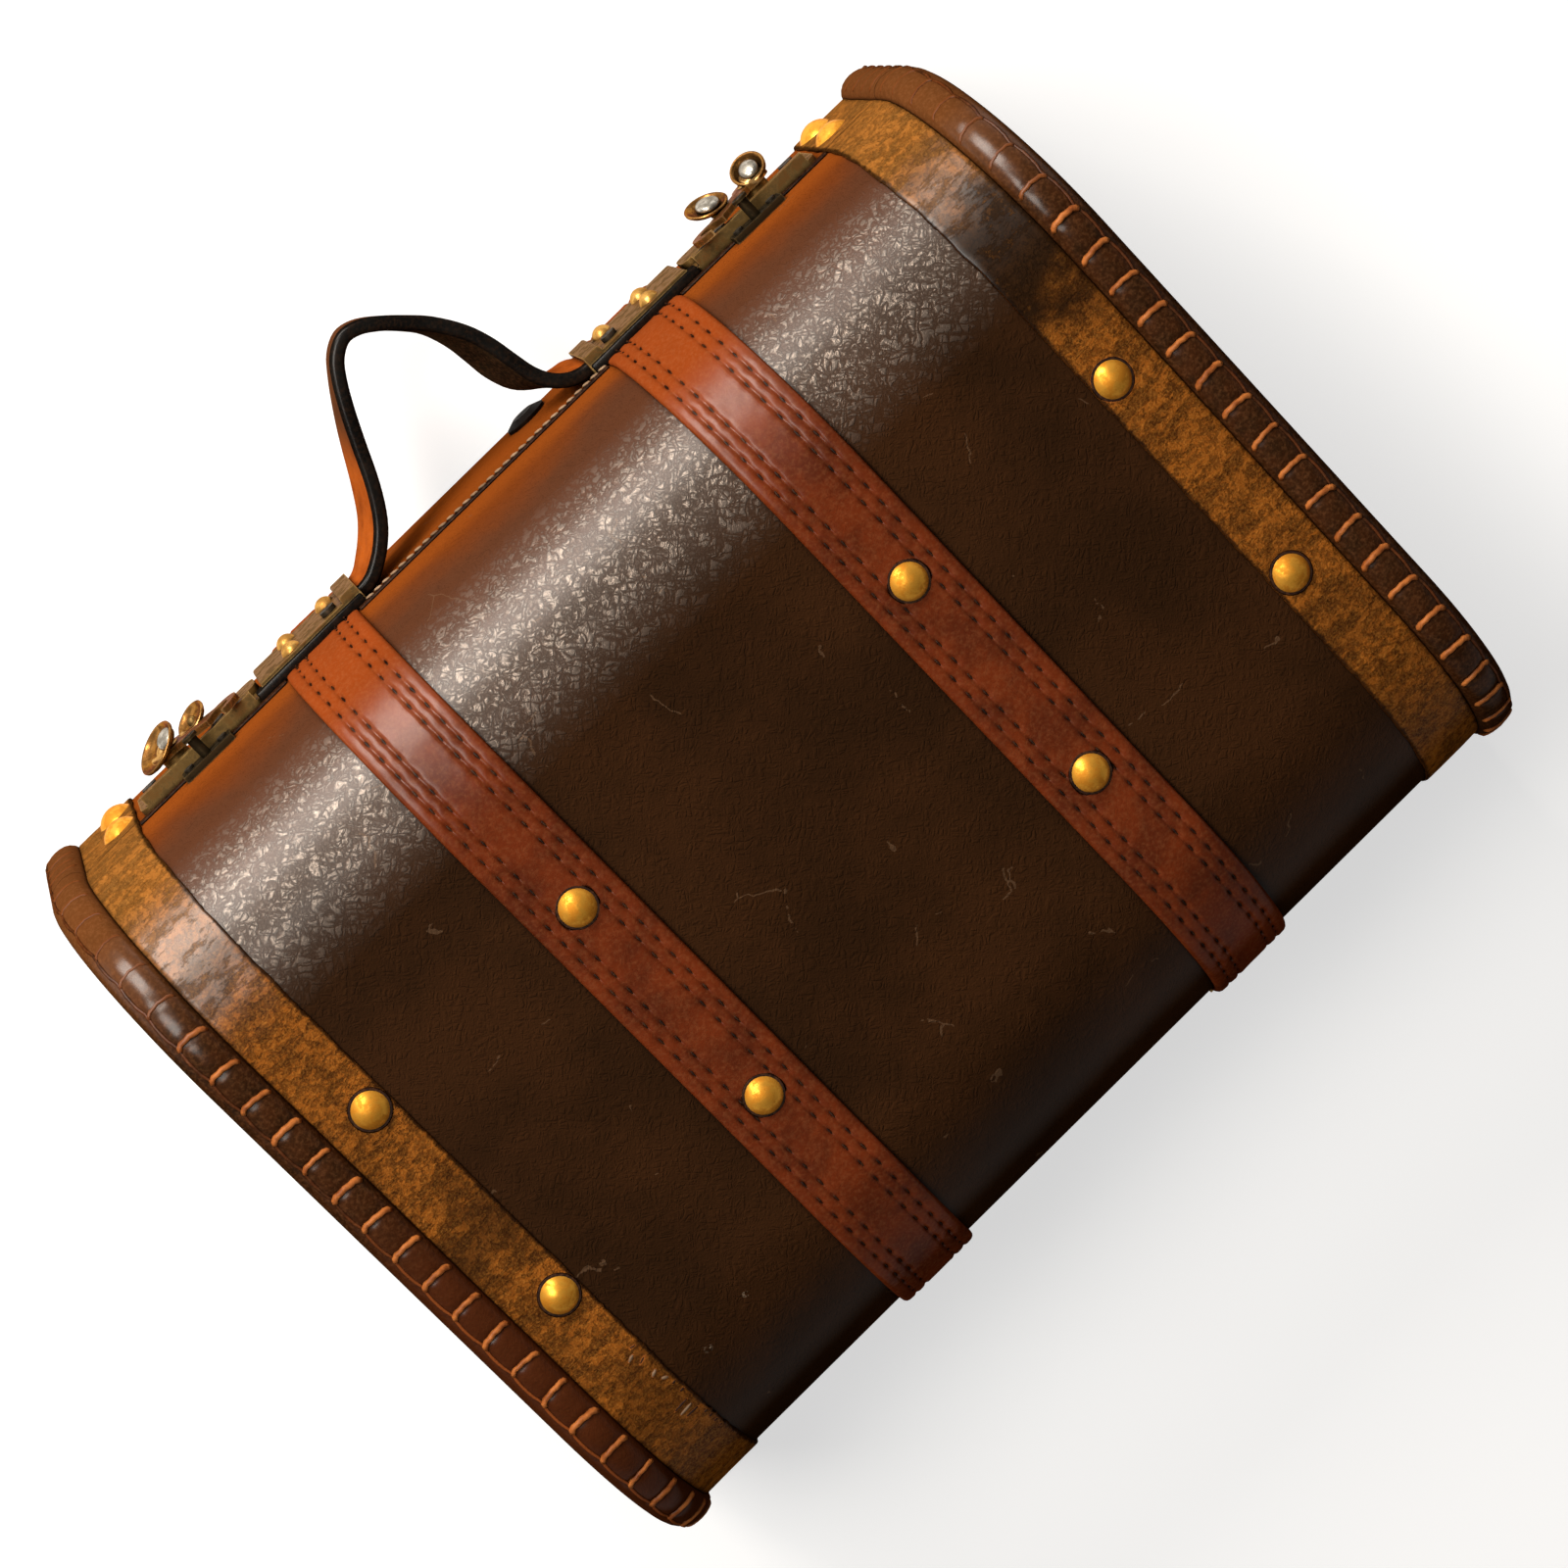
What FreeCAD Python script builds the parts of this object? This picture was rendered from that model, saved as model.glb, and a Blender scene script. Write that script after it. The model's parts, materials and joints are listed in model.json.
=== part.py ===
import FreeCAD, Part
import math
import os

import Sketcher

# A covered wooden storage chest that lies on its back, in millimetres.
# X runs along its length, -Y is the front with the handle and the latches,
# +Y is the rear with the hinges and +Z is up. The floor is at Z = 0.

doc = FreeCAD.newDocument("StorageChest")
sheet = doc.addObject("Spreadsheet::Sheet", "Sizes")

DRIVING_SIZES = [
    ("case_length", 322.4, "outside length over the end covers"),
    ("case_depth", 246.0, "outside depth over the front and rear covers"),
    ("base_depth", 54.0, "height of the base, from its covered underside to the seam"),
    ("lid_depth", 66.0, "height of the lid, from the seam to its covered top"),
    ("case_setback", 25.22, "how far the case sits behind the origin, to balance its handle"),
    ("seam_gap", 0.4, "gap between base and lid when closed"),
    ("lid_skirt", 10.0, "upright part of the lid's front and rear, below the bent edges"),
    ("base_corner", 8.0, "outside radius of the lower base edges"),
    ("board_thickness", 6.0, "wall boards and bent lid panel"),
    ("bottom_thickness", 8.0, "bottom board"),
    ("cover_thickness", 1.2, "outer covering"),
    ("lining_thickness", 0.8, "inner lining"),
    ("rim_land", 8.0, "width of the rolled rim on the covered faces"),
    ("rim_lip", 6.0, "how far the rim stands out past the end cover"),
    ("rim_proud", 4.5, "how far the rim stands out from the covered faces"),
    ("rim_drop", 5.5, "how far the rim reaches down over the end cover"),
    ("rim_edge", 0.5, "upright edge where the rim meets the band"),
    ("rim_nose", 2.5, "radius of the rim's lower edge on the end cover"),
    ("band_width", 20.2, "hide band beside each rim"),
    ("band_thickness", 1.0, "hide band"),
    ("strap_width", 27.0, "leather strap"),
    ("strap_thickness", 2.5, "leather strap"),
    ("stud_radius", 5.5, "domed nail head"),
    ("stud_height", 3.0, "domed nail head"),
    ("stud_front_setback", 88.1, "front face to the front row of studs"),
    ("stud_rear_setback", 84.6, "rear face to the rear row of studs"),
    ("band_stud_inset", 6.4, "inner edge of a band to its studs"),
    ("upper_stud_drop", 14.0, "seam to the upper stud on the base bands"),
    ("lower_stud_drop", 38.0, "seam to the lower stud on the base bands"),
    ("handle_end_gap", 0.4, "gap between each end of the handle strap and the strap beside it"),
    ("handle_reach", 56.1, "height of the handle's crown off the front"),
    ("handle_width", 22.0, "handle strap"),
    ("handle_thickness", 4.0, "handle strap"),
    ("handle_edge_bevel", 0.9, "bevelled edge of the handle strap"),
    ("handle_drop", 16.5, "seam to the middle of the handle strap"),
    ("fitting_clearance", 0.3, "gap between a fitting and what it goes round"),
    ("saddle_length", 4.2, "length of the handle bracket inside the strap"),
    ("bracket_tail", 6.8, "length of the handle bracket outside the strap"),
    ("bracket_height", 29.0, "handle bracket, along Z"),
    ("bracket_thickness", 1.8, "bracket metal"),
    ("plate_corner", 3.0, "rounded corners of the latch plates"),
    ("rivet_radius", 3.2, "bracket rivet head"),
    ("rivet_height", 2.4, "bracket rivet head"),
    ("rivet_spacing", 15.0, "distance between the bracket fasteners along X"),
    ("rivet_rows", 17.0, "distance between the two rows of bracket fasteners"),
    ("screw_radius", 2.5, "screw head"),
    ("screw_height", 1.4, "screw head"),
    ("button_radius", 6.7, "domed cap behind the handle"),
    ("button_height", 2.2, "domed cap behind the handle"),
    ("button_rim_height", 1.0, "straight rim of the domed cap"),
    ("button_crown_radius", 3.6, "flat crown of the domed cap"),
    ("button_drop", 38.0, "seam to the domed cap"),
    ("latch_band_gap", 2.5, "gap between a latch plate and the band beside it"),
    ("latch_bracket_gap", 1.0, "gap between a latch plate and the handle bracket beside it"),
    ("latch_length", 47.0, "latch plate along X"),
    ("latch_height", 24.0, "latch plate along Z"),
    ("latch_drop", 13.5, "seam to the middle of the latch plate"),
    ("latch_thickness", 2.0, "latch plate"),
    ("lip_length", 42.0, "raised lip at the seam"),
    ("lip_inset", 2.5, "inner end of the latch plate to its lip"),
    ("lip_depth", 2.8, "raised lip along Z"),
    ("lip_height", 5.0, "raised lip off the front"),
    ("rest_length", 9.5, "raised rest under the open hook"),
    ("rest_height", 4.0, "raised rest off the front"),
    ("rest_depth", 13.0, "raised rest along Z"),
    ("pivot_offset", 6.5, "middle of the latch plate to the hook pivot"),
    ("pivot_drop", 16.5, "seam to the hook pivot"),
    ("boss_radius", 4.2, "boss under the hook"),
    ("boss_height", 5.6, "top of the boss off the front"),
    ("pivot_radius", 1.5, "pivot rivet shank"),
    ("pivot_clearance", 0.05, "running clearance of the pivot rivet"),
    ("pivot_head_radius", 3.6, "pivot rivet head"),
    ("pivot_head_height", 2.0, "pivot rivet head"),
    ("hook_thickness", 1.9, "latch hook"),
    ("hook_gap", 0.1, "axial play of the hook on each side"),
    ("hook_eye_radius", 6.0, "eye of the hook"),
    ("hook_head_radius", 5.8, "hooked end"),
    ("hook_arm_width", 7.0, "arm of the hook"),
    ("hook_throat", 3.3, "half width of the hook's throat"),
    ("hook_seat_play", 0.6, "shift of the throat's closed end"),
    ("hook_open_turn", 35.0, "degrees between the latched and the resting hook"),
    ("disc_offset", 14.5, "pivot to the thumb disc along the hook"),
    ("disc_radius", 5.0, "thumb disc"),
    ("disc_thickness", 1.6, "thumb disc"),
    ("disc_stem_radius", 2.2, "stem of the thumb disc"),
    ("disc_stem_height", 1.5, "stem of the thumb disc"),
    ("disc_tilt", 12.0, "degrees that the thumb disc leans"),
    ("keeper_length", 18.0, "keeper plate along X"),
    ("keeper_height", 8.6, "keeper plate along Z"),
    ("keeper_lift", 0.6, "seam to the keeper plate"),
    ("peg_offset", 1.0, "middle of the latch plate to the peg, towards the middle"),
    ("peg_lift", 5.7, "seam to the peg"),
    ("peg_radius", 1.6, "keeper peg"),
    ("peg_reach", 8.2, "end of the peg's shank off the front"),
    ("peg_head_radius", 2.4, "head of the peg"),
    ("peg_head_height", 1.0, "head of the peg"),
    ("small_screw_radius", 1.6, "small screw head"),
    ("small_screw_height", 0.8, "small screw head"),
    ("keeper_screw_spacing", 12.5, "distance between the keeper screws"),
    ("hinge_width", 24.0, "hinge along X"),
    ("hinge_leaf", 1.2, "hinge leaf metal"),
    ("hinge_base_length", 16.0, "hinge line to the lower end of the base leaf"),
    ("hinge_lid_length", 9.5, "hinge line to the upper end of the lid leaf"),
    ("barrel_radius", 2.6, "hinge barrel"),
    ("barrel_lift", 2.7, "strap surface to the hinge line"),
    ("knuckle_gap", 0.3, "gap between hinge knuckles"),
    ("pin_radius", 1.2, "hinge pin"),
    ("pin_clearance", 0.05, "running clearance of the hinge pin"),
    ("pin_head_radius", 2.0, "hinge pin head"),
    ("pin_head_length", 0.8, "hinge pin head"),
    ("hinge_screw_spacing", 14.0, "distance between the screws of a hinge leaf"),
    ("base_screw_drop", 10.0, "hinge line to the base leaf screws"),
    ("lid_screw_lift", 6.3, "hinge line to the lid leaf screws"),
    ("overrun", 2.0, "how far a cutting shape runs past what it cuts"),
]

# Corners of the handle's centre line, as shares of half its open span and of its reach.
# The crown and side bends are shares of the same half span. Each foot's bend takes a
# share of the run from its corner to the bracket.
RISE_SHARES = (0.692, 0)
CROWN_SHARES = (0.0227, 1.165)
SIDE_SHARES = (-0.635, 0.595)
FOOT_SHARES = (-0.764, 0)
CROWN_BEND_SHARE = 0.263
SIDE_BEND_SHARE = 0.408
FOOT_RUN_SHARE = 0.74
# The low cap behind the handle, as a share of half the handle's span.
BUTTON_SHARE = -0.487


class Measure:
    """A number together with the sheet formula that it comes from."""

    def __init__(self, value, formula):
        self.value = value
        self.formula = formula

    def __neg__(self):
        return Measure(-self.value, f"(0 - {self.formula})")

    def __add__(self, other):
        other = as_measure(other)
        return Measure(self.value + other.value, f"({self.formula} + {other.formula})")

    def __sub__(self, other):
        other = as_measure(other)
        return Measure(self.value - other.value, f"({self.formula} - {other.formula})")

    def __mul__(self, other):
        other = as_measure(other)
        return Measure(self.value * other.value, f"({self.formula} * {other.formula})")

    def __truediv__(self, other):
        other = as_measure(other)
        return Measure(self.value / other.value, f"({self.formula} / {other.formula})")

    __radd__ = __add__
    __rmul__ = __mul__


def as_measure(number):
    """A plain count or sign as a measure."""
    return number if isinstance(number, Measure) else Measure(float(number), repr(number))


class Sizes:
    """The sheet's driving sizes by name."""


def fill_sheet():
    """Write each driving size into its row and return them as measures."""
    sizes = Sizes()
    for row, (name, value, note) in enumerate(DRIVING_SIZES, start=1):
        sheet.set(f"A{row}", name)
        sheet.set(f"B{row}", str(value))
        sheet.setAlias(f"B{row}", name)
        sheet.set(f"C{row}", note)
        setattr(sizes, name, Measure(value, f"Sizes.{name}"))
    return sizes


S = fill_sheet()
doc.recompute()

ZERO = Measure(0.0, "0")
X_AXIS = FreeCAD.Vector(1, 0, 0)
Y_AXIS = FreeCAD.Vector(0, 1, 0)
Z_AXIS = FreeCAD.Vector(0, 0, 1)
UPWARD = FreeCAD.Rotation()
FORWARD = FreeCAD.Rotation(X_AXIS, 90)
REARWARD = FreeCAD.Rotation(X_AXIS, -90)
ALONG_X = FreeCAD.Rotation(Y_AXIS, 90)
SIDES = (("left", -1), ("right", 1))

# Levels and faces that several pieces share.
HALF_LENGTH = S.case_length / 2
HALF_DEPTH = S.case_depth / 2
FRONT = HALF_DEPTH - S.case_setback
REAR = HALF_DEPTH + S.case_setback
UNDERSIDE = S.rim_proud
SEAM = UNDERSIDE + S.base_depth
BASE_TOP = SEAM - S.seam_gap / 2
LID_BOTTOM = SEAM + S.seam_gap / 2
LID_TOP = SEAM + S.lid_depth
BOARD_END = HALF_LENGTH - S.cover_thickness
INNER_END = BOARD_END - S.board_thickness
BOARD_INSET = S.cover_thickness + S.board_thickness
FLOOR_BOTTOM = UNDERSIDE + S.cover_thickness
FLOOR_TOP = FLOOR_BOTTOM + S.bottom_thickness
RIM_INNER = HALF_LENGTH - S.rim_land
BAND_INNER = RIM_INNER - S.band_width
LATCH_CENTRE = BAND_INNER - S.latch_band_gap - S.latch_length / 2
STRAP_OUTER = BAND_INNER - S.latch_band_gap - S.latch_length - S.latch_bracket_gap - S.bracket_tail
STRAP_CENTRE = STRAP_OUTER - S.strap_width / 2
STRAP_INNER = STRAP_OUTER - S.strap_width
LID_CORNER = S.lid_depth - S.lid_skirt
BAND_STUD_X = BAND_INNER + S.band_stud_inset
FRONT_STUD_Y = S.stud_front_setback - FRONT
REAR_STUD_Y = REAR - S.stud_rear_setback
HANDLE_Z = SEAM - S.handle_drop
HALF_HANDLE = S.handle_width / 2
HALF_SPAN = STRAP_INNER - S.handle_end_gap
OPEN_HALF = HALF_SPAN - S.saddle_length
PIVOT_X = LATCH_CENTRE + S.pivot_offset
PIVOT_Z = SEAM - S.pivot_drop
PEG_X = LATCH_CENTRE - S.peg_offset
PEG_Z = SEAM + S.peg_lift
HINGE_FACE = REAR + S.strap_thickness
HINGE_Y = HINGE_FACE + S.barrel_lift


def bind(thing, place, measure):
    """Tie a property to its sheet formula."""
    thing.setExpression(place, measure.formula)


def place_at(thing, x, y, z, turn=UPWARD):
    """Turn a piece and tie its place to the sheet."""
    thing.Placement = FreeCAD.Placement(FreeCAD.Vector(x.value, y.value, z.value), turn)
    for axis, measure in zip("xyz", (x, y, z)):
        bind(thing, f"Placement.Base.{axis}", measure)


def label(thing, name):
    """Name a finished piece."""
    thing.Label = name
    PIECES[name] = thing
    return thing


PIECES = {}


# Sketches and pads

def new_sketch(body, plane, offset):
    """An empty sketch on one of the body's own planes, moved along its normal."""
    support = [item for item in body.Origin.OriginFeatures if item.Role == plane][0]
    sketch = body.newObject("Sketcher::SketchObject", body.Name + "Sketch")
    sketch.AttachmentSupport = (support, "")
    sketch.MapMode = "FlatFace"
    sketch.AttachmentOffset = FreeCAD.Placement(Z_AXIS * offset.value, UPWARD)
    bind(sketch, "AttachmentOffset.Base.z", offset)
    return sketch


def add_dimension(sketch, kind, line, measure):
    """Distance of a line from the sketch's origin, bound to the sheet."""
    if measure.value < 0:
        index = sketch.addConstraint(Sketcher.Constraint(kind, line, 1, -1, 1, -measure.value))
        bind(sketch, f"Constraints[{index}]", -measure)
    else:
        index = sketch.addConstraint(Sketcher.Constraint(kind, -1, 1, line, 1, measure.value))
        bind(sketch, f"Constraints[{index}]", measure)


def add_corner(sketch, corner, radius, along, onward, before, after):
    """Join two lines at a corner, sharp or with a tangent arc of the given radius."""
    if radius is None:
        sketch.addConstraint(Sketcher.Constraint("Coincident", before, 2, after, 1))
        return
    centre = corner + (onward - along) * radius.value
    first = math.atan2(-onward.y, -onward.x)
    last = math.atan2(along.y, along.x)
    left_turn = along.x * onward.y - along.y * onward.x > 0
    start, end = (first, last) if left_turn else (last, first)
    if end < start:
        end += 2 * math.pi
    arc = sketch.addGeometry(Part.ArcOfCircle(Part.Circle(centre, Z_AXIS, radius.value), start, end), False)
    near, far = (1, 2) if left_turn else (2, 1)
    sketch.addConstraint(Sketcher.Constraint("Tangent", before, 2, arc, near))
    sketch.addConstraint(Sketcher.Constraint("Tangent", arc, far, after, 1))
    index = sketch.addConstraint(Sketcher.Constraint("Radius", arc, radius.value))
    bind(sketch, f"Constraints[{index}]", radius)


def add_outline(sketch, corners, closed=True):
    """Draw level and upright lines through the corners, each given as (x, y, radius or None)."""
    points = [FreeCAD.Vector(x.value, y.value, 0) for x, y, radius in corners]
    count = len(points)
    sides = count if closed else count - 1
    ways = []
    lines = []
    for number in range(sides):
        way = points[(number + 1) % count] - points[number]
        ways.append(way.normalize())
    for number in range(sides):
        start = points[number]
        end = points[(number + 1) % count]
        start_radius = corners[number][2]
        end_radius = corners[(number + 1) % count][2]
        if start_radius is not None:
            start = start + ways[number] * start_radius.value
        if end_radius is not None:
            end = end - ways[number] * end_radius.value
        line = sketch.addGeometry(Part.LineSegment(start, end), False)
        lines.append(line)
        if abs(ways[number].x) > abs(ways[number].y):
            sketch.addConstraint(Sketcher.Constraint("Horizontal", line))
            add_dimension(sketch, "DistanceY", line, corners[number][1])
        else:
            sketch.addConstraint(Sketcher.Constraint("Vertical", line))
            add_dimension(sketch, "DistanceX", line, corners[number][0])
    joints = range(sides) if closed else range(1, sides)
    for number in joints:
        add_corner(sketch, points[number], corners[number][2], ways[number - 1], ways[number],
                   lines[number - 1], lines[number])
    if not closed:
        for line, end, measure in ((lines[0], 1, corners[0][1]), (lines[-1], 2, corners[-1][1])):
            index = sketch.addConstraint(Sketcher.Constraint("DistanceY", -1, 1, line, end, measure.value))
            bind(sketch, f"Constraints[{index}]", measure)


def new_body(name):
    """An empty body that will be a finished piece."""
    return label(doc.addObject("PartDesign::Body", name), name)


def pad(body, plane, start, end, outlines):
    """Pad closed outlines from one distance along the plane's normal to another."""
    sketch = new_sketch(body, plane, start)
    for corners in outlines:
        add_outline(sketch, corners)
    feature = body.newObject("PartDesign::Pad", body.Name + "Pad")
    feature.Profile = sketch
    feature.Length = (end - start).value
    bind(feature, "Length", end - start)
    return feature


def pocket(body, plane, start, end, corners):
    """Cut a closed outline out of the body between two distances along the plane's normal."""
    sketch = new_sketch(body, plane, start)
    add_outline(sketch, corners)
    before = body.Shape.Volume
    feature = body.newObject("PartDesign::Pocket", body.Name + "Pocket")
    feature.Profile = sketch
    feature.Reversed = True
    feature.Length = (end - start).value
    bind(feature, "Length", end - start)
    doc.recompute()
    if body.Shape.Volume >= before:
        raise RuntimeError(body.Label + ": the pocket cuts nothing")
    return feature


def mirrored(side, near, far):
    """The stretch of X between two distances from the middle, on the given side."""
    return (near, far) if side > 0 else (-far, -near)


def rectangle(x_low, x_high, y_low, y_high, radius=None):
    """Four corners of a rectangle."""
    return [(x_low, y_low, radius), (x_high, y_low, radius), (x_high, y_high, radius), (x_low, y_high, radius)]


# Part primitives

def slab(name, x, y, z):
    """A box between pairs of measures."""
    box = doc.addObject("Part::Box", name)
    for side, (low, high) in zip(("Length", "Width", "Height"), (x, y, z)):
        bind(box, side, high - low)
    place_at(box, x[0], y[0], z[0])
    return box


def rod(name, radius, length, x, y, z, turn=UPWARD):
    """A cylinder that starts at a place and runs along the turned Z axis."""
    cylinder = doc.addObject("Part::Cylinder", name)
    bind(cylinder, "Radius", radius)
    bind(cylinder, "Height", length)
    place_at(cylinder, x, y, z, turn)
    return cylinder


def dome(name, radius, height, x, y, z, turn=UPWARD):
    """A domed head whose flat side is centred on the given place."""
    ball_radius = (radius * radius + height * height) / (height * 2)
    sunk = ball_radius - height
    cap = doc.addObject("Part::Sphere", name)
    bind(cap, "Radius", ball_radius)
    cap.setExpression("Angle1", f"asin({(sunk / ball_radius).formula})")
    way = turn.multVec(Z_AXIS)
    shift = [sunk * round(part) for part in (way.x, way.y, way.z)]
    place_at(cap, x - shift[0], y - shift[1], z - shift[2], turn)
    return cap


def group(name, solids):
    """Separate solids of one kind as one piece."""
    compound = doc.addObject("Part::Compound", name)
    compound.Links = solids
    return label(compound, name)


def fused(name, shapes):
    """Several shapes as one."""
    fusion = doc.addObject("Part::MultiFuse", name)
    fusion.Shapes = shapes
    fusion.Refine = True
    return fusion


def cut(name, base, tool):
    """One shape less another."""
    result = doc.addObject("Part::Cut", name)
    result.Base = base
    result.Tool = tool
    return result


# Shells that go over the lid or under the base

def lid_arch(offset):
    """Upright outline of the lid in the YZ plane, moved outwards by an offset."""
    radius = LID_CORNER + offset
    front = -(FRONT + offset)
    rear = REAR + offset
    top = LID_TOP + offset
    return [(front, LID_BOTTOM, None), (front, top, radius), (rear, top, radius), (rear, LID_BOTTOM, None)]


def base_arch(offset):
    """Upright outline of the base in the YZ plane, moved outwards by an offset."""
    radius = S.base_corner + offset
    front = -(FRONT + offset)
    rear = REAR + offset
    bottom = UNDERSIDE - offset
    return [(front, BASE_TOP, None), (front, bottom, radius), (rear, bottom, radius), (rear, BASE_TOP, None)]


def shell(name, arch, inner, outer, x):
    """A bent sheet between two offsets of an arch, along a stretch of X."""
    corners = arch(outer) + arch(inner)[::-1]
    return pad(new_body(name), "YZ_Plane", x[0], x[1], [corners])


def arch_plate(name, arch, offset, x):
    """A flat plate with the whole outline of an arch."""
    return pad(new_body(name), "YZ_Plane", x[0], x[1], [arch(offset)])


def rim(name, arch, opening, side):
    """A rolled rim, its section swept along the arch over the end of the case."""
    body = new_body(name)
    path = new_sketch(body, "YZ_Plane", HALF_LENGTH * side)
    add_outline(path, arch(ZERO), closed=False)
    outer = HALF_LENGTH + S.rim_lip
    crown = -(FRONT + S.rim_proud)
    face = -FRONT
    inside = S.rim_drop - FRONT
    section = [(RIM_INNER, face, None), (RIM_INNER, crown, S.rim_proud - S.rim_edge),
               (outer, crown, S.rim_lip), (outer, inside, S.rim_nose),
               (HALF_LENGTH, inside, None), (HALF_LENGTH, face, None)]
    section = [(x * side, y, radius) for x, y, radius in section]
    profile = new_sketch(body, "XY_Plane", opening)
    add_outline(profile, section)
    sweep = body.newObject("PartDesign::AdditivePipe", name + "_sweep")
    sweep.Profile = profile
    sweep.Spine = (path, [])
    return body


# Base box

def make_base_box():
    floor_radius = S.base_corner - S.cover_thickness
    front_face = S.cover_thickness - FRONT
    rear_face = REAR - S.cover_thickness
    front_inside = BOARD_INSET - FRONT
    rear_inside = REAR - BOARD_INSET
    floor = [(front_face, FLOOR_BOTTOM, floor_radius), (rear_face, FLOOR_BOTTOM, floor_radius),
             (rear_face, FLOOR_TOP, None), (front_face, FLOOR_TOP, None)]
    pad(new_body("bottom_board"), "YZ_Plane", -BOARD_END, BOARD_END, [floor])
    walls = (FLOOR_TOP, BASE_TOP)
    label(slab("front_board", (-BOARD_END, BOARD_END), (front_face, front_inside), walls), "front_board")
    label(slab("rear_board", (-BOARD_END, BOARD_END), (rear_inside, rear_face), walls), "rear_board")
    for hand, side in SIDES:
        end = mirrored(side, INNER_END, BOARD_END)
        name = f"base_end_board_{hand}"
        label(slab(name, end, (front_inside, rear_inside), walls), name)
        arch_plate(f"base_end_cover_{hand}", base_arch, ZERO, mirrored(side, BOARD_END, HALF_LENGTH))
    shell("base_cover", base_arch, -S.cover_thickness, ZERO, (-BOARD_END, BOARD_END))
    tray = new_body("base_lining")
    outer = rectangle(front_inside, rear_inside, FLOOR_TOP, BASE_TOP)
    pad(tray, "YZ_Plane", -INNER_END, INNER_END, [outer])
    doc.recompute()
    inner = rectangle(front_inside + S.lining_thickness, rear_inside - S.lining_thickness,
                      FLOOR_TOP + S.lining_thickness, BASE_TOP + S.overrun)
    lining_end = INNER_END - S.lining_thickness
    pocket(tray, "YZ_Plane", -lining_end, lining_end, inner)


# Lid box

def make_lid_box():
    board_inner = -BOARD_INSET
    shell("lid_panel", lid_arch, board_inner, -S.cover_thickness, (-BOARD_END, BOARD_END))
    shell("lid_cover", lid_arch, -S.cover_thickness, ZERO, (-BOARD_END, BOARD_END))
    for hand, side in SIDES:
        arch_plate(f"lid_end_board_{hand}", lid_arch, board_inner, mirrored(side, INNER_END, BOARD_END))
        arch_plate(f"lid_end_cover_{hand}", lid_arch, ZERO, mirrored(side, BOARD_END, HALF_LENGTH))
    hollow = new_body("lid_lining")
    pad(hollow, "YZ_Plane", -INNER_END, INNER_END, [lid_arch(board_inner)])
    doc.recompute()
    inner = lid_arch(board_inner - S.lining_thickness)
    mouth = LID_BOTTOM - S.overrun
    inner = [(inner[0][0], mouth, None), inner[1], inner[2], (inner[3][0], mouth, None)]
    lining_end = INNER_END - S.lining_thickness
    pocket(hollow, "YZ_Plane", -lining_end, lining_end, inner)


# Bands, rims and straps on both halves

def make_trim():
    halves = (("base", base_arch, BASE_TOP), ("lid", lid_arch, LID_BOTTOM))
    for half, arch, opening in halves:
        for hand, side in SIDES:
            shell(f"{half}_band_{hand}", arch, ZERO, S.band_thickness, mirrored(side, BAND_INNER, RIM_INNER))
            shell(f"{half}_strap_{hand}", arch, ZERO, S.strap_thickness, mirrored(side, STRAP_INNER, STRAP_OUTER))
            rim(f"{half}_rim_{hand}", arch, opening, side)


def make_studs():
    strap_top = LID_TOP + S.strap_thickness
    band_top = LID_TOP + S.band_thickness
    for name, distance, top in (("lid_strap_studs", STRAP_CENTRE, strap_top), ("lid_band_studs", BAND_STUD_X, band_top)):
        heads = []
        for hand, side in SIDES:
            for row, y in (("front", FRONT_STUD_Y), ("rear", REAR_STUD_Y)):
                heads.append(dome(f"{name}_{hand}_{row}", S.stud_radius, S.stud_height, distance * side, y, top))
        group(name, heads)
    heads = []
    for hand, side in SIDES:
        for row, drop in (("upper", S.upper_stud_drop), ("lower", S.lower_stud_drop)):
            heads.append(dome(f"base_band_stud_{hand}_{row}", S.stud_radius, S.stud_height, BAND_STUD_X * side,
                              -(FRONT + S.band_thickness), SEAM - drop, FORWARD))
    group("base_band_studs", heads)


# Handle strap

def tangent_path(corners):
    """A wire of straight runs joined by tangent arcs, each corner given as (point, radius or None)."""
    edges = []
    start = corners[0][0]
    for (before, _), (corner, radius), (after, _) in zip(corners, corners[1:], corners[2:]):
        along = (corner - before).normalize()
        onward = (after - corner).normalize()
        half_turn = along.getAngle(onward) / 2
        setback = radius * math.tan(half_turn)
        arc_start = corner - along * setback
        arc_end = corner + onward * setback
        bisector = (onward - along).normalize()
        middle = corner + bisector * (radius / math.cos(half_turn) - radius)
        edges.append(Part.LineSegment(start, arc_start).toShape())
        edges.append(Part.Arc(arc_start, middle, arc_end).toShape())
        start = arc_end
    edges.append(Part.LineSegment(start, corners[-1][0]).toShape())
    return Part.Wire(edges)


def foot_radius(end, foot, onward):
    """The bend at a foot of the handle that is done before the strap lies under its bracket."""
    half_turn = (foot - end).getAngle(onward - foot) / 2
    run = (end - foot).Length - S.saddle_length.value
    return run * FOOT_RUN_SHARE / math.tan(half_turn)


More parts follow.
